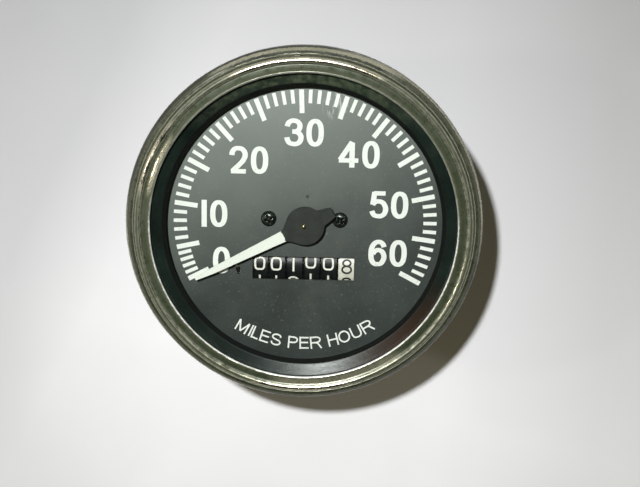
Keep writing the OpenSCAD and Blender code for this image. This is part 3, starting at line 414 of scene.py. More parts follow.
def bezel_plating(look):
    """Electroplated pressed brass: painted highlights on its high lines and on patches that look
    rubbed bare, brown and pitted between them, its dark shades partly painted reflections."""
    made, add, place = new_material("bezel plating with painted reflections")
    axes = add("SeparateXYZ", place).outputs
    x, y = axes["X"], axes["Y"]
    flat = add("CombineXYZ", x, y)
    radius = add("VectorMath", flat, operation="LENGTH")
    bands = add("MapRange", frayed(add, place, radius, 0.6, 5.0, 0.0006), *PLATED)
    band = add("ValToRGB", bands, stops=PLATING_PAINTED_REFLECTIONS)

    # places round the bezel: its top, its foot, its upper left, its right and lower left, and the
    # middle and the right of its bottom
    top = add("MapRange", y, 0.0375, 0.0405)
    foot = add("MapRange", y, -0.0405, -0.0416, 0.0, 0.9)
    left = add("MapRange", x, -0.033, -0.037, 0.0, add("MapRange", y, 0.007, 0.014))
    along = add("VectorMath", flat, (0.819, 0.574, 0), operation="DOT_PRODUCT")
    sides = add("MapRange", add("Math", along, operation="ABSOLUTE"), 0.031, 0.039)
    bottom = add("MapRange", y, -0.031, -0.035)
    aside = add("Math", x, operation="ABSOLUTE")
    middle = add("MapRange", aside, 0.004, 0.010, bottom, 0.0)
    right = add("MapRange", x, -0.009, -0.003, 0.0, bottom)
    above = add("MapRange", y, -0.003, 0.009, 0.0, 0.85)

    # where the ridge gets its painted highlights: its top, its foot and its upper left
    painted_highlight_places = add("Math", top, foot, operation="MAXIMUM")
    painted_highlight_places = add("Math", painted_highlight_places, left, operation="MAXIMUM")
    shoulder = zone(add, bands, (0.79, 0.82), (0.89, 0.92), 0.75, top)
    edge = zone(add, bands, (0.875, 0.92), (0.955, 0.97), 0.75, sides)
    painted_shade_band = zone(add, bands, (0.69, 0.71), (0.77, 0.79), 0.8, top)
    for share, code in (
        # painted highlights as bare metal on the ridge, and on the left on the lip's slope too
        (zone(add, bands, (0.39, 0.42), (0.52, 0.58), mask=painted_highlight_places), PAINTED_HIGHLIGHT),
        (zone(add, bands, (0.07, 0.10), (0.20, 0.25), mask=left), PAINTED_HIGHLIGHT),
        # painted reflections on the shoulder's top, and further out on the right and the lower left
        (add("Math", shoulder, edge, operation="MAXIMUM"), "#cfccb4"),
        # painted shade between bead and shoulder at the top, and on the inner edge above the middle
        (painted_shade_band, "#14160f"),
        (add("MapRange", bands, 0.05, 0.09, above, 0.0), "#5d6051"),
        # painted highlights at the bottom: on the trough's right, and the ridge's outer side in the
        # middle
        (zone(add, bands, (0.08, 0.12), (0.30, 0.34), 0.8, right), "#a5a28a"),
        (zone(add, bands, (0.46, 0.49), (0.60, 0.64), 0.9, middle), PAINTED_HIGHLIGHT),
    ):
        band = add("Mix", share, band, code, data_type="RGBA")

    # bare metal where it is pale, dull film where it is dark, and a matt white inner edge, a
    # painted highlight
    pale = add("MapRange", add("RGBToBW", band), 0.22, 0.5, 0.3, 1.0)
    inside = add("MapRange", bands, 0.030, 0.045, 0.25, 1.0)
    bare = add("Math", pale, inside, operation="MULTIPLY")
    pit_size = look.pit_size / MM
    colour = speckled(add, place, band, "#5f6452", 3.5, 5.0, 0.40, 0.66, 0.3)
    colour = speckled(add, place, colour, "#3a3626", pit_size, 3.0, 0.60, 0.70, 0.6 * look.tarnish)
    worn = add("TexNoise", place, fineness(1.2), 4.0, BREAK_UP)
    film = add("MapRange", bare, 0.3, 1.0, 0.14, 0.0)
    rough = add("Math", worn, film, operation="ADD")
    rough = add("MapRange", rough, 0.35, 0.87, 0.15, 0.45)
    # the painted shade band is made rough too
    painted_shade_rough = add("Math", painted_shade_band, 0.9, operation="MULTIPLY")
    shader = add(
        "BsdfPrincipled",
        Base_Color=colour,
        Metallic=bare,
        Roughness=add("Math", rough, painted_shade_rough, operation="MAXIMUM"),
        Normal=pebbled(add, place, pit_size, 4.0, 0.09, 0.06),
    )
    add("OutputMaterial", shader)
    return made


def visor_enamel():
    """Gloss enamel on a spun cone: black-green, dusty at the top, with a painted warm reflection at
    the lower right, and matt black on its inner bevel."""
    made, add, place = new_material("gloss visor enamel")
    axes = add("SeparateXYZ", place).outputs
    bevel = add("MapRange", axes["Z"], 0.0070, 0.0073)
    cloud = add("TexNoise", place, fineness(6), 4.0, BREAK_UP)
    tints = ((0.35, "#0f1714"), (0.55, "#18221e"), (0.7, "#232b23"))
    colour = add("ValToRGB", cloud, stops=tints)
    grit = patchy(add, place, 1.4, 6.0, 0.42, 0.62, 0.15, 0.75)
    dust = add("MapRange", axes["Y"], 0.024, 0.040, 0.0, grit)
    colour = add("Mix", dust, colour, "#59604c", data_type="RGBA")
    # painted reflection of a warm surrounding: reddish brown towards the lower right
    low = add("MapRange", axes["Y"], -0.012, -0.030, 0.0, 0.8)
    painted_warm_reflection = add("MapRange", axes["X"], 0.004, 0.030, 0.0, low)
    colour = add("Mix", painted_warm_reflection, colour, "#3d2316", data_type="RGBA")
    colour = speckled(add, place, colour, "#56604f", 0.22, 2.0, 0.66, 0.74, 0.35)
    shader = add(
        "BsdfPrincipled",
        Base_Color=add("Mix", bevel, "#0b0d0c", colour, data_type="RGBA"),
        Roughness=add("MapRange", bevel, 0.0, 1.0, 0.65, 0.2),
        Specular_IOR_Level=0.13,
        Normal=pebbled(add, place, 0.8, 4.0, 0.2, 0.06),
    )
    add("OutputMaterial", shader)
    return made


def pointer_paint():
    """Brushed enamel on sheet: white arm with grainy edges, black-green middle and tail."""
    made, add, place = new_material("pointer enamel")
    # at rest the arm points to the zero mark, down and to the left
    lean = math.radians(62.5)
    arm_way = (-math.sin(lean), -math.cos(lean), 0)
    along = add("VectorMath", place, arm_way, operation="DOT_PRODUCT")
    arm = add("MapRange", frayed(add, place, along, 0.5, 3.0, 0.0012), 0.0058, 0.0059)
    white = speckled(add, place, "#e9ece4", "#b9b8a2", 0.4, 4.0, 0.60, 0.70, 0.3)
    dark = speckled(add, place, "#131613", "#252922", 2.2, 4.0, 0.4, 0.7)
    shader = add(
        "BsdfPrincipled",
        Base_Color=add("Mix", arm, dark, white, data_type="RGBA"),
        Roughness=patchy(add, place, 1.2, 3.0, 0.35, 0.65, 0.42, 0.6),
        Specular_IOR_Level=0.3,
        Normal=pebbled(add, place, 0.3, 3.0, 0.3, 0.05),
    )
    add("OutputMaterial", shader)
    return made


def clear_glass():
    """Drawn sheet glass: clear and faintly green, with light wiping marks; lamp light passes it."""
    made, add, place = new_material("sheet glass")
    wiped = add("Mapping", place, Scale=(1, 3, 1))
    glass = add(
        "BsdfPrincipled",
        Base_Color="#fbfdfb",
        Roughness=patchy(add, wiped, 9, 3.0, 0.35, 0.65, 0.0, 0.035),
        IOR=1.52,
        Transmission_Weight=1.0,
    )
    clear = add("BsdfTransparent", "#f9fbf9")
    path = add("LightPath").outputs
    lit = add("Math", path["Is Shadow Ray"], path["Is Diffuse Ray"], operation="MAXIMUM")
    # rays that metal mirrors, but not those that are inside the glass
    within = path["Is Transmission Ray"]
    mirrored = add("Math", path["Is Glossy Ray"], within, operation="SUBTRACT")
    passing = add("Math", lit, mirrored, operation="MAXIMUM")
    add("OutputMaterial", add("MixShader", passing, glass, clear))
    return made


def matt_paper(look):
    """Matt paper: pale, with a faint tooth and painted shade towards its top, upper left and sides;
    clear from below, so that the back shows.
    """
    made, add, place = new_material("matt paper")
    # painted shade: darker towards the top, the upper left, and both sides
    along = add("VectorMath", place, (0.26, 0.95, 0), operation="DOT_PRODUCT")
    slant = add("VectorMath", place, (-0.9, 0.45, 0), operation="DOT_PRODUCT")
    apart = add("Math", add("SeparateXYZ", place).outputs["X"], operation="ABSOLUTE")
    fall = add("MapRange", along, -0.06, 0.09)
    tone = add("Mix", fall, "#fbfcfd", "#b6b7b8", data_type="RGBA")
    for way, end, code in ((slant, 0.075, "#e7e8e9"), (apart, 0.095, "#efefee")):
        fall = add("MapRange", way, 0.045, end)
        tone = add("Mix", fall, tone, code, data_type="RGBA", blend_type="MULTIPLY")
    tone = speckled(add, place, tone, "#d2d3d0", 25, 3.0, 0.3, 0.7, 0.12)
    # a little whiter to the eye than the light that it gives back
    whiter = add("MapRange", background_ray(add), 0.0, 1.0, 1.0, 1.08)
    near = add("BsdfDiffuse", add("VectorMath", tone, whiter, operation="SCALE"))
    # away from the lamps the sheet stays as pale as it is near them
    away = add("VectorMath", place, operation="LENGTH")
    beyond = add("MapRange", away, 0.13, 0.30, 0.0, background_ray(add))
    sheet = add("MixShader", beyond, near, add("Emission", look.paper))
    behind = add("NewGeometry").outputs["Backfacing"]
    add("OutputMaterial", add("MixShader", behind, sheet, add("BsdfTransparent")))
    return made


def studio_room(look):
    """The world: an even warm light, and a room that the camera, metal and glass see. The room is
    pale along the horizon and dim overhead, so that glass stays clear; its pale walls stand higher
    beyond the top of the dial and on the left."""
    world = bpy.data.worlds.new("studio")
    world.use_nodes = True
    world.node_tree.nodes.clear()
    add = partial(add_node, world.node_tree)
    way = add("TexCoord").outputs["Generated"]
    height = add("VectorMath", way, look.room_lean, operation="DOT_PRODUCT")
    dim = add("MapRange", height, 0.30, 0.62)
    room = add("Mix", dim, look.paper, look.ceiling, data_type="RGBA")
    straight = add("LightPath").outputs["Is Camera Ray"]
    room = add("Mix", straight, room, look.paper, data_type="RGBA")
    light = add("Background", "#fff1c4", look.ambient)
    seen = add("Background", room, 1.0)
    add("OutputWorld", add("MixShader", background_ray(add), light, seen))
    return world


# Shapes


def make_object(name, shape, material, body, sharp=35):
    """Turns a shape into a piece that rides on a body, its edges sharp from sharp degrees on."""
    bmesh.ops.remove_doubles(shape, verts=shape.verts, dist=1e-7)
    bmesh.ops.recalc_face_normals(shape, faces=shape.faces)
    mesh = bpy.data.meshes.new(name)
    shape.to_mesh(mesh)
    shape.free()
    mesh.shade_smooth()
    mesh.set_sharp_from_angle(angle=math.radians(sharp))
    mesh.materials.append(material)
    made = bpy.data.objects.new(name, mesh)
    bpy.context.scene.collection.objects.link(made)
    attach(made, body)
    return made


def dress(node, material):
    """Gives a solid that keeps its shape a better material."""
    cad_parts[node].material_slots[0].material = material


def arc(x, z, radius, start, end, steps):
    """Points along an arc, its angles in degrees."""
    turns = [math.radians(start + (end - start) * n / steps) for n in range(steps + 1)]
    return [(x + radius * math.cos(a), z + radius * math.sin(a)) for a in turns]


def turned(profile, steps, centre=(0, 0), closed=True, shape=None):
    """An outline of (radius, height) in mm, spun round an upright axis; an open one ends on the
    axis."""
    shape = shape or bmesh.new()
    x, y = centre
    ring = [shape.verts.new(((x + r) * MM, y * MM, z * MM)) for r, z in profile]
    ends = ring[1:] + ring[:1] if closed else ring[1:]
    edges = [shape.edges.new(pair) for pair in zip(ring, ends)]
    bmesh.ops.spin(
        shape, geom=ring + edges, cent=(x * MM, y * MM, 0), axis=(0, 0, 1), angle=FULL_TURN,
        steps=steps, use_merge=True
    )
    return shape


def bezel_outline():
    """The bezel's section as (radius, height) in mm: from the lip to the foot and back inside."""
    curve = [math.radians(degrees) for degrees in range(65, -1, -5)]
    return [
        # rolled lip, and its slope down to the trough
        *arc(39.6, 10.6, 0.4, 200, 60, 12),
        (39.95, 10.81), (40.6, 10.6), (41.25, 10.39), (41.33, 10.37), (41.41, 10.39),
        # ridge, and its steep outer side
        *arc(42.4, 9.95, 0.85, 125, 15, 16),
        (43.3, 9.95), (43.4, 9.6), (43.55, 9.2), (43.7, 8.8),
        # flat bead, and the shoulder that curves down to the flank
        *arc(44.0, 8.6, 0.2, 140, 60, 6),
        *arc(44.35, 7.95, 0.78, 95, 55, 6),
        *((46 - 1.55 * (1 - math.cos(a)), 6.3 + 2.05 * math.sin(a)) for a in curve),
        # upright flank, and the foot crimped under the case's flange
        (46, 3.5), (46, 1.1),
        *arc(44.9, 1.1, 1.1, 0, -90, 8)[1:],
        (43.2, 0), (43.2, 0.9),
        # inside, along the flange, the visor ring and the gasket
        (45.1, 0.9), (45.1, 6.1), (44.05, 7.45), (42.4, 7.85), (42, 9.5), (41.9, 10), (39.45, 10),
    ]


# Cross-recessed screws, in millimetres: the head's height, the recess's depth, half the length and
# half the width of its arms, and how far its slanting middle reaches along both arms together
HEAD_HEIGHT = 1.15
CROSS_DEPTH = 0.5
CROSS_REACH = 1.3
CROSS_HALF = 0.42
CROSS_MIDDLE = 1.0


def recess(x, y):
    """Depth of a cross recess at a place on a screw's head, in mm, with its walls sloping in."""
    x, y = abs(x), abs(y)
    flat = max(x - CROSS_REACH, y - CROSS_HALF)
    upright = max(y - CROSS_REACH, x - CROSS_HALF)
    outside = min(flat, upright, (x + y - CROSS_MIDDLE) * 0.7)
    wall = min(1, max(0, -outside / CROSS_HALF))
    return CROSS_DEPTH * wall * wall


def pan_screw(shape, centre, base, foot, radius, shank, turn):
    """A pan-head screw with a cross recess, its head standing on base, its shank reaching foot."""
    crown = [radius * n / 36 for n in range(35, -1, -1)]
    profile = [(0, foot), (shank - 0.2, foot), (shank, foot + 0.2), (shank, base)]
    profile += [(radius - 0.05, base), (radius, base + 0.05)]
    profile += [(r, base + HEAD_HEIGHT * (1 - 0.75 * (r / radius) ** 5)) for r in crown]
    before = set(shape.verts)
    turned(profile, 144, centre, False, shape)
    c, s = math.cos(turn), math.sin(turn)
    for vertex in set(shape.verts) - before:
        x, y = vertex.co.x / MM - centre[0], vertex.co.y / MM - centre[1]
        if vertex.co.z / MM > base + HEAD_HEIGHT * 0.5:
            vertex.co.z -= recess(x * c + y * s, y * c - x * s) * MM


def ribbon(shape, points, width, height, closed):
    """A flat stroke: a chain of edges down one side, extruded across to the other."""
    count = len(points)
    chain, across = [], {}
    for n, point in enumerate(points):
        before = points[(n - 1) % count] if closed or n else point
        after = points[(n + 1) % count] if closed or n < count - 1 else point
        side = (after - before).orthogonal().normalized() * width
        vertex = shape.verts.new(Vector((*(point - side / 2), height)))
        chain.append(vertex)
        across[tuple(vertex.co)] = Vector((*side, 0))
    ends = chain[1:] + chain[:1] if closed else chain[1:]
    edges = [shape.edges.new(pair) for pair in zip(chain, ends)]
    made = bmesh.ops.extrude_edge_only(shape, edges=edges)["geom"]
    for vertex in (v for v in made if isinstance(v, bmesh.types.BMVert)):
        vertex.co += across[tuple(vertex.co)]
    return [f for f in made if isinstance(f, bmesh.types.BMFace)]


def ring_stroke(x, y, wide, high, power=2.0, steps=28):
    """Points round an oval of a figure; a higher power makes it squarer."""
    points = []
    for n in range(steps):
        c, s = math.cos(FULL_TURN * n / steps), math.sin(FULL_TURN * n / steps)
        across = wide * math.copysign(abs(c) ** (2 / power), c)
        points.append((x + across, y + high * math.copysign(abs(s) ** (2 / power), s)))
    return points + points[:1]


# The stem and the bowl that letters share
STEM = [(0, -9), (0, 109)]
BOWL = [(0, 100), (30, 100), (62, 99), (88, 92), (98, 74.5), (88, 57), (62, 49), (30, 48), (0, 48)]

# Strokes of each figure and letter, in a box 100 wide and 100 high
STROKES = {
    "0": [ring_stroke(50, 50, 50, 50, 2.35)],
    "1": [[(50, 0), (50, 100)]],
    "2": [
        [(-2, 70), (4, 86), (24, 98), (50, 100), (78, 96), (97, 80), (96, 62), (78, 43), (48, 25),
         (20, 10), (2, 0)],
        [(-8, 0), (105, 0)],
    ],
    "3": [
        [(-2, 75), (8, 91), (30, 99), (52, 100), (80, 94), (93, 79), (86, 62), (64, 54), (36, 53)],
        [(36, 53), (70, 51.5), (95, 41), (102, 27), (92, 9), (68, 0.5), (44, 0), (17, 4), (2, 16),
         (-4, 28)],
    ],
    "4": [[(70, 104), (-8, 26)], [(-16, 23.5), (112, 23.5)], [(70, -7), (70, 100)]],
    "5": [
        [(12, 100), (98, 100)],
        [(17, 106), (4, 50)],
        [(2, 50), (24, 62), (52, 65), (82, 58), (102, 35), (94, 12), (68, 0.5), (42, 0), (14, 5),
         (-2, 22)],
    ],
    "6": [
        [(98, 77), (86, 93), (60, 100), (30, 95), (7, 76), (0, 48), (5, 20), (25, 3), (50, 0)],
        [(50, 0), (80, 5), (100, 31), (87, 55), (56, 64), (30, 58), (13, 46)],
    ],
    "7": [[(-5, 100), (105, 100)], [(100, 97), (66, 60), (44, 26), (36, -5)]],
    "8": [ring_stroke(50, 77, 42, 23), ring_stroke(50, 27, 50, 27)],
    "9": [
        [(2, 23), (14, 7), (40, 0), (70, 5), (93, 24), (100, 52), (95, 80), (75, 97), (50, 100)],
        [(50, 100), (20, 95), (0, 69), (13, 45), (44, 36), (70, 42), (87, 54)],
    ],
    "drum 0": [ring_stroke(50, 50, 50, 50, 3.4)],
    "M": [[(0, -9), (0, 100)], [(0, 102), (50, 0)], [(50, 0), (100, 102)], [(100, -9), (100, 100)]],
    "I": [[(50, -9), (50, 109)]],
    "L": [STEM, [(0, 0), (105, 0)]],
    "E": [STEM, [(0, 0), (105, 0)], [(0, 53), (97, 53)], [(0, 100), (103, 100)]],
    "S": [
        [(96, 74), (84, 93), (50, 100), (16, 93), (4, 75), (17, 59), (50, 50), (85, 41), (100, 24),
         (84, 6), (50, 0), (14, 7), (0, 28)],
    ],
    "P": [STEM, BOWL],
    "R": [STEM, BOWL, [(52, 48), (72, 38), (88, 16), (106, -9)]],
    "H": [STEM, [(100, -9), (100, 109)], [(0, 52), (100, 52)]],
    "O": [ring_stroke(50, 50, 50, 50, 2.1, 36)],
    "U": [
        [(0, 109), (0, 65), (0, 33), (13, 8), (50, 0), (87, 8), (100, 33), (100, 65), (100, 109)],
    ],
}
# How far print stands above and below its surface, and how much higher each stroke of a sign lies
# than the one before, in millimetres
INK = 0.03
LAYER = 0.002


def smooth(points, closed):
    """A finer run of points through the given ones, straight where there are only two."""
    if len(points) == 2:
        return [points[0].lerp(points[1], n / 8) for n in range(9)]
    # an open run starts and ends as if its end points stood there twice
    around = points[-1:] + points + points[:2] if closed else points[:1] + points + points[-1:]
    run = []
    for a, b, c, d in zip(around, around[1:], around[2:], around[3:]):
        for t in (0, 0.25, 0.5, 0.75):
            bend = (2 * a - 5 * b + 4 * c - d) * t**2 + (3 * b - a - 3 * c + d) * t**3
            run.append(0.5 * (2 * b + (c - a) * t + bend))
    return run if closed else run + [points[-1]]


def write(shape, sign, size, weight, place, spread=1.0):
    """Draws a figure or letter of size (width, height) in mm, centred, with strokes of a weight and
    upright ones thicker by spread, and sets each of its points by place."""
    wide, high = size[0] / spread - weight, size[1] - weight
    faces = []
    for layer, stroke in enumerate(STROKES[sign]):
        closed = stroke[0] == stroke[-1]
        corners = stroke[:-1] if closed else stroke
        points = [Vector(((u / 100 - 0.5) * wide, (v / 100 - 0.5) * high)) for u, v in corners]
        if sign in "1I":
            points = [Vector((0, end * size[1] / 2)) for end in (-1, 1)]
        faces += ribbon(shape, smooth(points, closed), weight, INK + layer * LAYER, closed)
    made = bmesh.ops.extrude_face_region(shape, geom=faces)["geom"]
    sunk = [v for v in made if isinstance(v, bmesh.types.BMVert)]
    top = {v for f in faces if f.is_valid for v in f.verts}
    for vertex in sunk:
        vertex.co.z = -INK
    for vertex in {*sunk, *top}:
        vertex.co = place(Vector((vertex.co.x * spread, vertex.co.y, vertex.co.z))) * MM


def on_dial(x, y, turn=0.0):
    """Sets a sign on the dial plate, its middle at x, y and turned by an angle."""
    turned_by = Matrix.Rotation(turn, 3, "Z")
    return lambda p: turned_by @ p + Vector((x, y, DIAL_TOP))


def on_drum(axis, radius, side, turn):
    """Wraps a sign round a drum, its middle turned up from the front by an angle."""

    def place(p):
        a = turn + p.y / radius
        reach = radius + p.z
        return Vector((side + p.x, axis.y + reach * math.sin(a), axis.z + reach * math.cos(a)))

    return place


def mark_angle(speed):
    """The angle of a speed's mark, clockwise from the top: the marks up to 5 stand closer."""
    return math.radians(-117.5 + 3 * speed if speed <= 5 else -102.5 + 4 * (speed - 5))


def turned_down(node, centres, crest, root):
    """A copy of a solid whose cylinders round the centres are turned down from crest to root."""
    shape = bmesh.new()
    shape.from_mesh(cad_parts[node].data)
    for vertex in shape.verts:
        for x, y in centres:
            out = Vector((vertex.co.x - x * MM, vertex.co.y - y * MM))
            # a solid's facets lie within 0.03 mm of its true cylinder
            if abs(out.length / MM - crest) < 0.03:
                out *= root / crest
                vertex.co.x, vertex.co.y = x * MM + out.x, y * MM + out.y
    return shape


def helix(shape, core, crest, pitch, low, high, centre):
    """A vee thread's ridge round an upright axis, fading into its core at both ends."""
    before = set(shape.verts)
    x, y = centre
    buried = core - 0.1
    # radii of the ridge's foot, crest and other foot, and how high they lie as a share of the pitch
    section = ((buried, 0), (crest, 0.42), (crest, 0.52), (buried, 0.94))
    ring = [shape.verts.new(((x + r) * MM, y * MM, (low + pitch * up) * MM)) for r, up in section]
    edges = [shape.edges.new(pair) for pair in zip(ring, ring[1:])]
    turns = int((high - low) / pitch) - 1
    steps = 36
    bmesh.ops.spin(
        shape, geom=ring + edges, cent=(x * MM, y * MM, 0), axis=(0, 0, 1),
        dvec=(0, 0, pitch * MM / steps), angle=FULL_TURN * turns, steps=steps * turns
    )
    for vertex in set(shape.verts) - before:
        out = Vector((vertex.co.x - x * MM, vertex.co.y - y * MM))
        rise = vertex.co.z / MM
        fade = min(1, max(0, min(rise - low, low + pitch * (turns + 1) - rise) / pitch))
        reach = (buried * (1 - fade) + fade * out.length / MM) * MM
        out *= reach / out.length
        vertex.co.x, vertex.co.y = x * MM + out.x, y * MM + out.y


# Operators


class SPEEDO_OT_bezel(Operator):
    """Turns the bezel's fine section and gives it pitted plating with painted reflections and
    highlights
    """

    bl_idname = "speedometer.bezel"
    bl_label = "Bezel"

    def execute(self, context):
        plating = bezel_plating(context.scene.speedo_bezel)
        shape = turned(bezel_outline(), 288)
        made = make_object("bezel_shell", shape, plating, "housing_and_frame", 50)
        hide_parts("bezel")
        return {"FINISHED"}


class SPEEDO_OT_glass(Operator):
    """Clears the glass"""

    bl_idname = "speedometer.glass"
    bl_label = "Glass"

    def execute(self, context):
        dress("glass", clear_glass())
        return {"FINISHED"}


class SPEEDO_OT_visor(Operator):
    """Paints the visor ring"""

    bl_idname = "speedometer.visor"
    bl_label = "Visor ring"

    def execute(self, context):
        dress("visor_ring", visor_enamel())
        return {"FINISHED"}


class SPEEDO_OT_dial(Operator):
    """Lacquers the dial and prints its marks, figures and legend"""

    bl_idname = "speedometer.dial"
    bl_label = "Dial"

    # in millimetres: the middle of the ring of marks, which was printed a little off the spindle
    MARKS_MIDDLE = (0.18, 0.43)
    # the middle of each number, the width of each figure and the gap between two, the width of
    # their strokes, and how much thicker the upright strokes are
    NUMBERS = (
        ("0", -21.57, -10.25), ("10", -23.5, 2.12), ("20", -14.6, 16.33), ("30", -0.4, 23.72),
        ("40", 13.83, 18.35), ("50", 21.9, 5.38), ("60", 21.93, -7.42),
    )
    WIDTHS = {"0": 4.5, "1": 1.6, "2": 4.8, "3": 4.8, "4": 5.3, "5": 4.8, "6": 4.8}
    GAP = 0.75
    STROKE = 1.14
    SPREAD = 1.2
    # each letter of the legend, its width and its angle in degrees, clockwise from the top, and the
    # width of their strokes
    LEGEND = (
        ("M", 3.2, 209.5), ("I", 0.5, 205.1), ("L", 2.15, 202.3), ("E", 2.6, 197.8),
        ("S", 2.8, 192.4), ("P", 2.65, 184.35), ("E", 2.6, 179.0), ("R", 2.95, 173.6),
        ("H", 2.75, 165.4), ("O", 3.1, 159.8), ("U", 2.75, 153.8), ("R", 3.0, 148.0),
    )
    LEGEND_STROKE = 0.42

    def marks(self, look):
        """A bar for each speed from 0 to 60, and a larger one for every fifth."""
        shape = bmesh.new()
        for speed in range(61):
            length, width = look.minor_mark if speed % 5 else look.major_mark
            angle = mark_angle(speed)
            middle = look.tick_outer - length / 2
            x, y = (offset * MM for offset in self.MARKS_MIDDLE)
            x, y = x + math.sin(angle) * middle, y + math.cos(angle) * middle
            place = Matrix.Translation((x, y, DIAL_TOP * MM)) @ Matrix.Rotation(-angle, 4, "Z")
            size = Matrix.Diagonal((width, length, 2 * INK * MM, 1))
            bmesh.ops.create_cube(shape, matrix=place @ size)
        return shape

    def numbers(self, look):
        """The numbers 0 to 60."""
        shape = bmesh.new()
        high = look.figure_height / MM
        for text, x, y in self.NUMBERS:
            widths = [self.WIDTHS[sign] for sign in text]
            left = x - (sum(widths) + self.GAP * (len(text) - 1)) / 2
            for sign, width in zip(text, widths):
                place = on_dial(left + width / 2, y)
                write(shape, sign, (width, high), self.STROKE, place, self.SPREAD)
                left += width + self.GAP
        return shape

    def legend(self, look):
        """The letters of the unit, along the foot of the dial."""
        shape = bmesh.new()
        radius, high = look.legend_radius / MM, look.legend_height / MM
        for sign, width, degrees in self.LEGEND:
            a = math.radians(degrees)
            place = on_dial(radius * math.sin(a), radius * math.cos(a), math.pi - a)
            write(shape, sign, (width, high), self.LEGEND_STROKE, place)
        return shape

    def execute(self, context):
        look = context.scene.speedo_dial
        ink = printed("white dial ink", look.print_colour, "#b9bdb4")
        dress("dial_plate", dial_lacquer(look))
        make_object("dial_marks", self.marks(look), ink, "housing_and_frame")
        make_object("dial_figures", self.numbers(look), ink, "housing_and_frame")
        make_object("dial_legend", self.legend(look), ink, "housing_and_frame")
        return {"FINISHED"}


class SPEEDO_OT_screws(Operator):
    """Makes the two dial screws with their cross recesses"""

    bl_idname = "speedometer.screws"
    bl_label = "Dial screws"

    # the shank's radius in mm, and how far each screw's recess is turned, in degrees, from the left
    SHANK = 1.0
    TURNS = (22, 38)

    def execute(self, context):
        low, high = box_mm("dial_screws")
        radius = (high.y - low.y) / 2
        shape = bmesh.new()
        for x, degrees in zip((low.x + radius, high.x - radius), self.TURNS):
            centre, turn = (x, (low.y + high.y) / 2), math.radians(degrees)
            pan_screw(shape, centre, DIAL_TOP, low.z, radius, self.SHANK, turn)
        # glossy black plating on steel, mottled with paler rubs
        tints = ("#2a2e2b", "#3d413c", "#5d615a")
        black = finish("black plated steel", tints, 0.8, 0.9, (0.2, 0.34), (0.2, 0.12))
        made = make_object("dial_pan_screws", shape, black, "housing_and_frame")
        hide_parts("dial_screws")
        return {"FINISHED"}


class SPEEDO_OT_pointer(Operator):
    """Paints the pointer's white arm and its black middle and tail, and polishes its spindle"""

    bl_idname = "speedometer.pointer"
    bl_label = "Pointer"

    def execute(self, context):
        dress("pointer", pointer_paint())
        # polished brass pin: its bright domed tip shows in the pointer's middle
        tints = ("#cdb06a", "#ecdca8")
        brass = finish("polished brass", tints, 0.5, 1, (0.14, 0.26), (0.2, 0.05))
        dress("spindle", brass)
        # the cap of a ball of radius 1 mm, sunk 0.1 mm into the pin
        top = box_mm("spindle")[1].z
        dome = [(0, top - 0.1), (0.5, top - 0.1), *arc(0, top - 0.85, 1.0, 60, 90, 6)]
        tip = turned(dome, 32, closed=False)
        make_object("spindle_tip", tip, brass, "pointer_and_cup")
        return {"FINISHED"}


class SPEEDO_OT_odometer(Operator):
    """Prints ten figures round each number drum, each ring riding on its own drum"""

    bl_idname = "speedometer.odometer"
    bl_label = "Odometer"

    # how far each drum's figure stands above the drum's front and right of its middle, in mm
    CREEP = ((0.43, 0.0), (1.13, -0.3), (1.56, -0.4), (0.65, -0.4), (0.8, -0.4), (0.86, -0.2))
    # how much taller the tenths drum's figures are
    TENTHS_TALLER = 1.12

    def execute(self, context):
        look = context.scene.speedo_odometer
        white = printed("white drum ink", "#eceae0", "#a5a397")
        black = printed("black drum ink", "#151513", "#4a4943")
        wide, stroke = look.figure_width / MM, look.stroke / MM
        for (node, body), shown, (creep, side) in zip(DRUMS, look.reading, self.CREEP):
            tenths = node == "tenths_wheel"
            high = look.figure_height / MM * (self.TENTHS_TALLER if tenths else 1)
            low_corner, high_corner = box_mm(node)
            middle = (low_corner + high_corner) / 2
            radius = (high_corner.y - low_corner.y) / 2
            shape = bmesh.new()
            for figure in range(10):
                turn = creep / radius - FULL_TURN / 10 * (figure - int(shown))
                place = on_drum(middle, radius, middle.x + side, turn)
                write(shape, str(figure) if figure else "drum 0", (wide, high), stroke, place)
            name = node.replace("_wheel", "_figures")
            ink, slot = (black, "white_drum") if tenths else (white, "black_drum")
            make_object(name, shape, ink, body)
        return {"FINISHED"}


class SPEEDO_OT_threads(Operator):
    """Cuts the vee threads on the nose and on the two studs at the back"""

    bl_idname = "speedometer.threads"
    bl_label = "Threads"

    # depth of a vee thread as a share of its pitch, and the plain part at its free end, in mm
    DEPTH = 0.6
    PLAIN_END = 1.0

    def execute(self, context):
        look = context.scene.speedo_thread
        rear = box_mm("case")[0].z
        low, high = box_mm("mounting_studs")
        collar = (high.y - low.y) / 2
        # each solid, its cylinders' centres, its thread, and the plain part at the case, in mm
        for node, centres, thread, plain in (
            ("drive_nose", ((0, 0),), look.nose, 1.5),
            ("mounting_studs", ((low.x + collar, 0), (high.x - collar, 0)), look.stud, 1.4),
        ):
            diameter, pitch = (size / MM for size in thread)
            crest = diameter / 2
            root = crest - pitch * self.DEPTH
            shape = turned_down(node, centres, crest, root)
            foot = box_mm(node)[0].z + self.PLAIN_END
            for centre in centres:
                helix(shape, root, crest, pitch, foot, rear - plain, centre)
            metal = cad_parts[node].material_slots[0].material
            made = make_object(node + "_threaded", shape, metal, "housing_and_frame")
            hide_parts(node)
        return {"FINISHED"}


class SPEEDO_OT_movement(Operator):
    """Gives every solid behind the dial, and the small visible ones, its own finish"""

    bl_idname = "speedometer.movement"
    bl_label = "Movement and case"

    def execute(self, context):
        finishes = movement_finishes()
        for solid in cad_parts.values():
            for slot in solid.material_slots:
                name = slot.material.name.split(".")[0]
                if name in finishes:
                    slot.material = finishes[name]
        return {"FINISHED"}


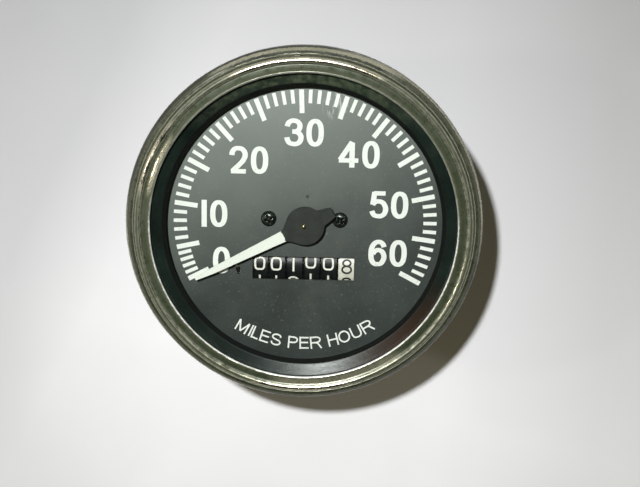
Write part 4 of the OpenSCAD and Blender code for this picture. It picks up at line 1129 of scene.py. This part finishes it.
class SPEEDO_OT_stage(Operator):
    """Sets the pale floor, the room, the lamps and the camera"""

    bl_idname = "speedometer.stage"
    bl_label = "Stage"

    # the floor's height, just under the object, and half its side, in metres
    FLOOR = CAD_BOX[0][2] - 0.0002
    FLOOR_HALF = 2.5
    # each lamp's place and disc, its power as a share of the key light's, and its tint
    LAMPS = (
        ("key", (-0.0355, 0.1112, 0.383), 0.012, 1, (0.98, 0.985, 1)),
        ("side", (-0.52, 0.06, 0.54), 0.05, 0.14, (1, 0.95, 0.84)),
        # shows the back, and lies in the object's own shadow
        ("under", (0, 0, FLOOR + 0.0004), 0.09, 0.007, (1, 1, 1)),
    )
    # the camera as it was fitted to the photo: its place, its directions and its focal length in mm
    CAMERA = (0.0071786, 0.0531668, 0.296765)
    RIGHT = (0.99969686, 0.02015975, -0.01413417)
    UP = (-0.02252827, 0.98058883, -0.19477685)
    FOCAL_LENGTH = 64.39

    def floor(self, scene, look):
        """Lays the floor."""
        shape = bmesh.new()
        place = Matrix.Translation((0, 0, self.FLOOR))
        bmesh.ops.create_grid(shape, x_segments=1, y_segments=1, size=self.FLOOR_HALF, matrix=place)
        mesh = bpy.data.meshes.new("floor")
        shape.to_mesh(mesh)
        shape.free()
        mesh.materials.append(matt_paper(look))
        floor = bpy.data.objects.new("floor", mesh)
        scene.collection.objects.link(floor)

    def lamps(self, scene, look):
        """Hangs the lamps, each facing the object."""
        for name, spot, size, share, tint in self.LAMPS:
            lamp = bpy.data.lights.new(name, "AREA")
            lamp.shape = "DISK"
            lamp.size = size
            lamp.energy = look.key_power * share
            lamp.color = tint
            held = bpy.data.objects.new(name, lamp)
            held.location = spot
            held.rotation_euler = (-Vector(spot)).to_track_quat("-Z", "Y").to_euler()
            held.visible_camera = False
            scene.collection.objects.link(held)

    def camera(self, scene):
        """Sets up the camera."""
        camera = bpy.data.objects.new("camera", bpy.data.cameras.new("camera"))
        camera.data.lens = self.FOCAL_LENGTH
        camera.data.sensor_width = 36
        camera.data.clip_start = 0.01
        right, up = Vector(self.RIGHT), Vector(self.UP)
        turn = Matrix((right, up, right.cross(up))).transposed()
        camera.matrix_world = Matrix.Translation(self.CAMERA) @ turn.to_4x4()
        scene.collection.objects.link(camera)
        scene.camera = camera

    def execute(self, context):
        scene, look = context.scene, context.scene.speedo_stage
        scene.view_settings.view_transform = "Standard"
        self.floor(scene, look)
        scene.world = studio_room(look)
        self.lamps(scene, look)
        self.camera(scene)
        return {"FINISHED"}


class SPEEDO_PT_panel(Panel):
    """Lists the speedometer's pieces and its stage"""

    bl_idname = "SPEEDO_PT_panel"
    bl_label = "Speedometer"
    bl_space_type = "VIEW_3D"
    bl_region_type = "UI"
    bl_category = "Speedometer"

    def draw(self, context):
        for group, _ in SETTINGS:
            settings = getattr(context.scene, group)
            for name in settings.__annotations__:
                self.layout.prop(settings, name)
        for operator in OPERATORS:
            self.layout.operator(operator.bl_idname)


SETTINGS = (
    ("speedo_dial", DialSettings),
    ("speedo_odometer", OdometerSettings),
    ("speedo_bezel", BezelSettings),
    ("speedo_thread", ThreadSettings),
    ("speedo_stage", StageSettings),
)
OPERATORS = (
    SPEEDO_OT_movement,
    SPEEDO_OT_bezel,
    SPEEDO_OT_glass,
    SPEEDO_OT_visor,
    SPEEDO_OT_dial,
    SPEEDO_OT_screws,
    SPEEDO_OT_pointer,
    SPEEDO_OT_odometer,
    SPEEDO_OT_threads,
    SPEEDO_OT_stage,
)


def register():
    for group, settings in SETTINGS:
        bpy.utils.register_class(settings)
        setattr(bpy.types.Scene, group, PointerProperty(type=settings))
    for made in (*OPERATORS, SPEEDO_PT_panel):
        bpy.utils.register_class(made)


def unregister():
    for made in (SPEEDO_PT_panel, *reversed(OPERATORS)):
        bpy.utils.unregister_class(made)
    for group, settings in reversed(SETTINGS):
        delattr(bpy.types.Scene, group)
        bpy.utils.unregister_class(settings)


def main():
    register()
    bpy.ops.speedometer.movement()
    bpy.ops.speedometer.bezel()
    bpy.ops.speedometer.glass()
    bpy.ops.speedometer.visor()
    bpy.ops.speedometer.dial()
    bpy.ops.speedometer.screws()
    bpy.ops.speedometer.pointer()
    bpy.ops.speedometer.odometer()
    bpy.ops.speedometer.threads()
    bpy.ops.speedometer.stage()


if __name__ == "__main__":
    main()
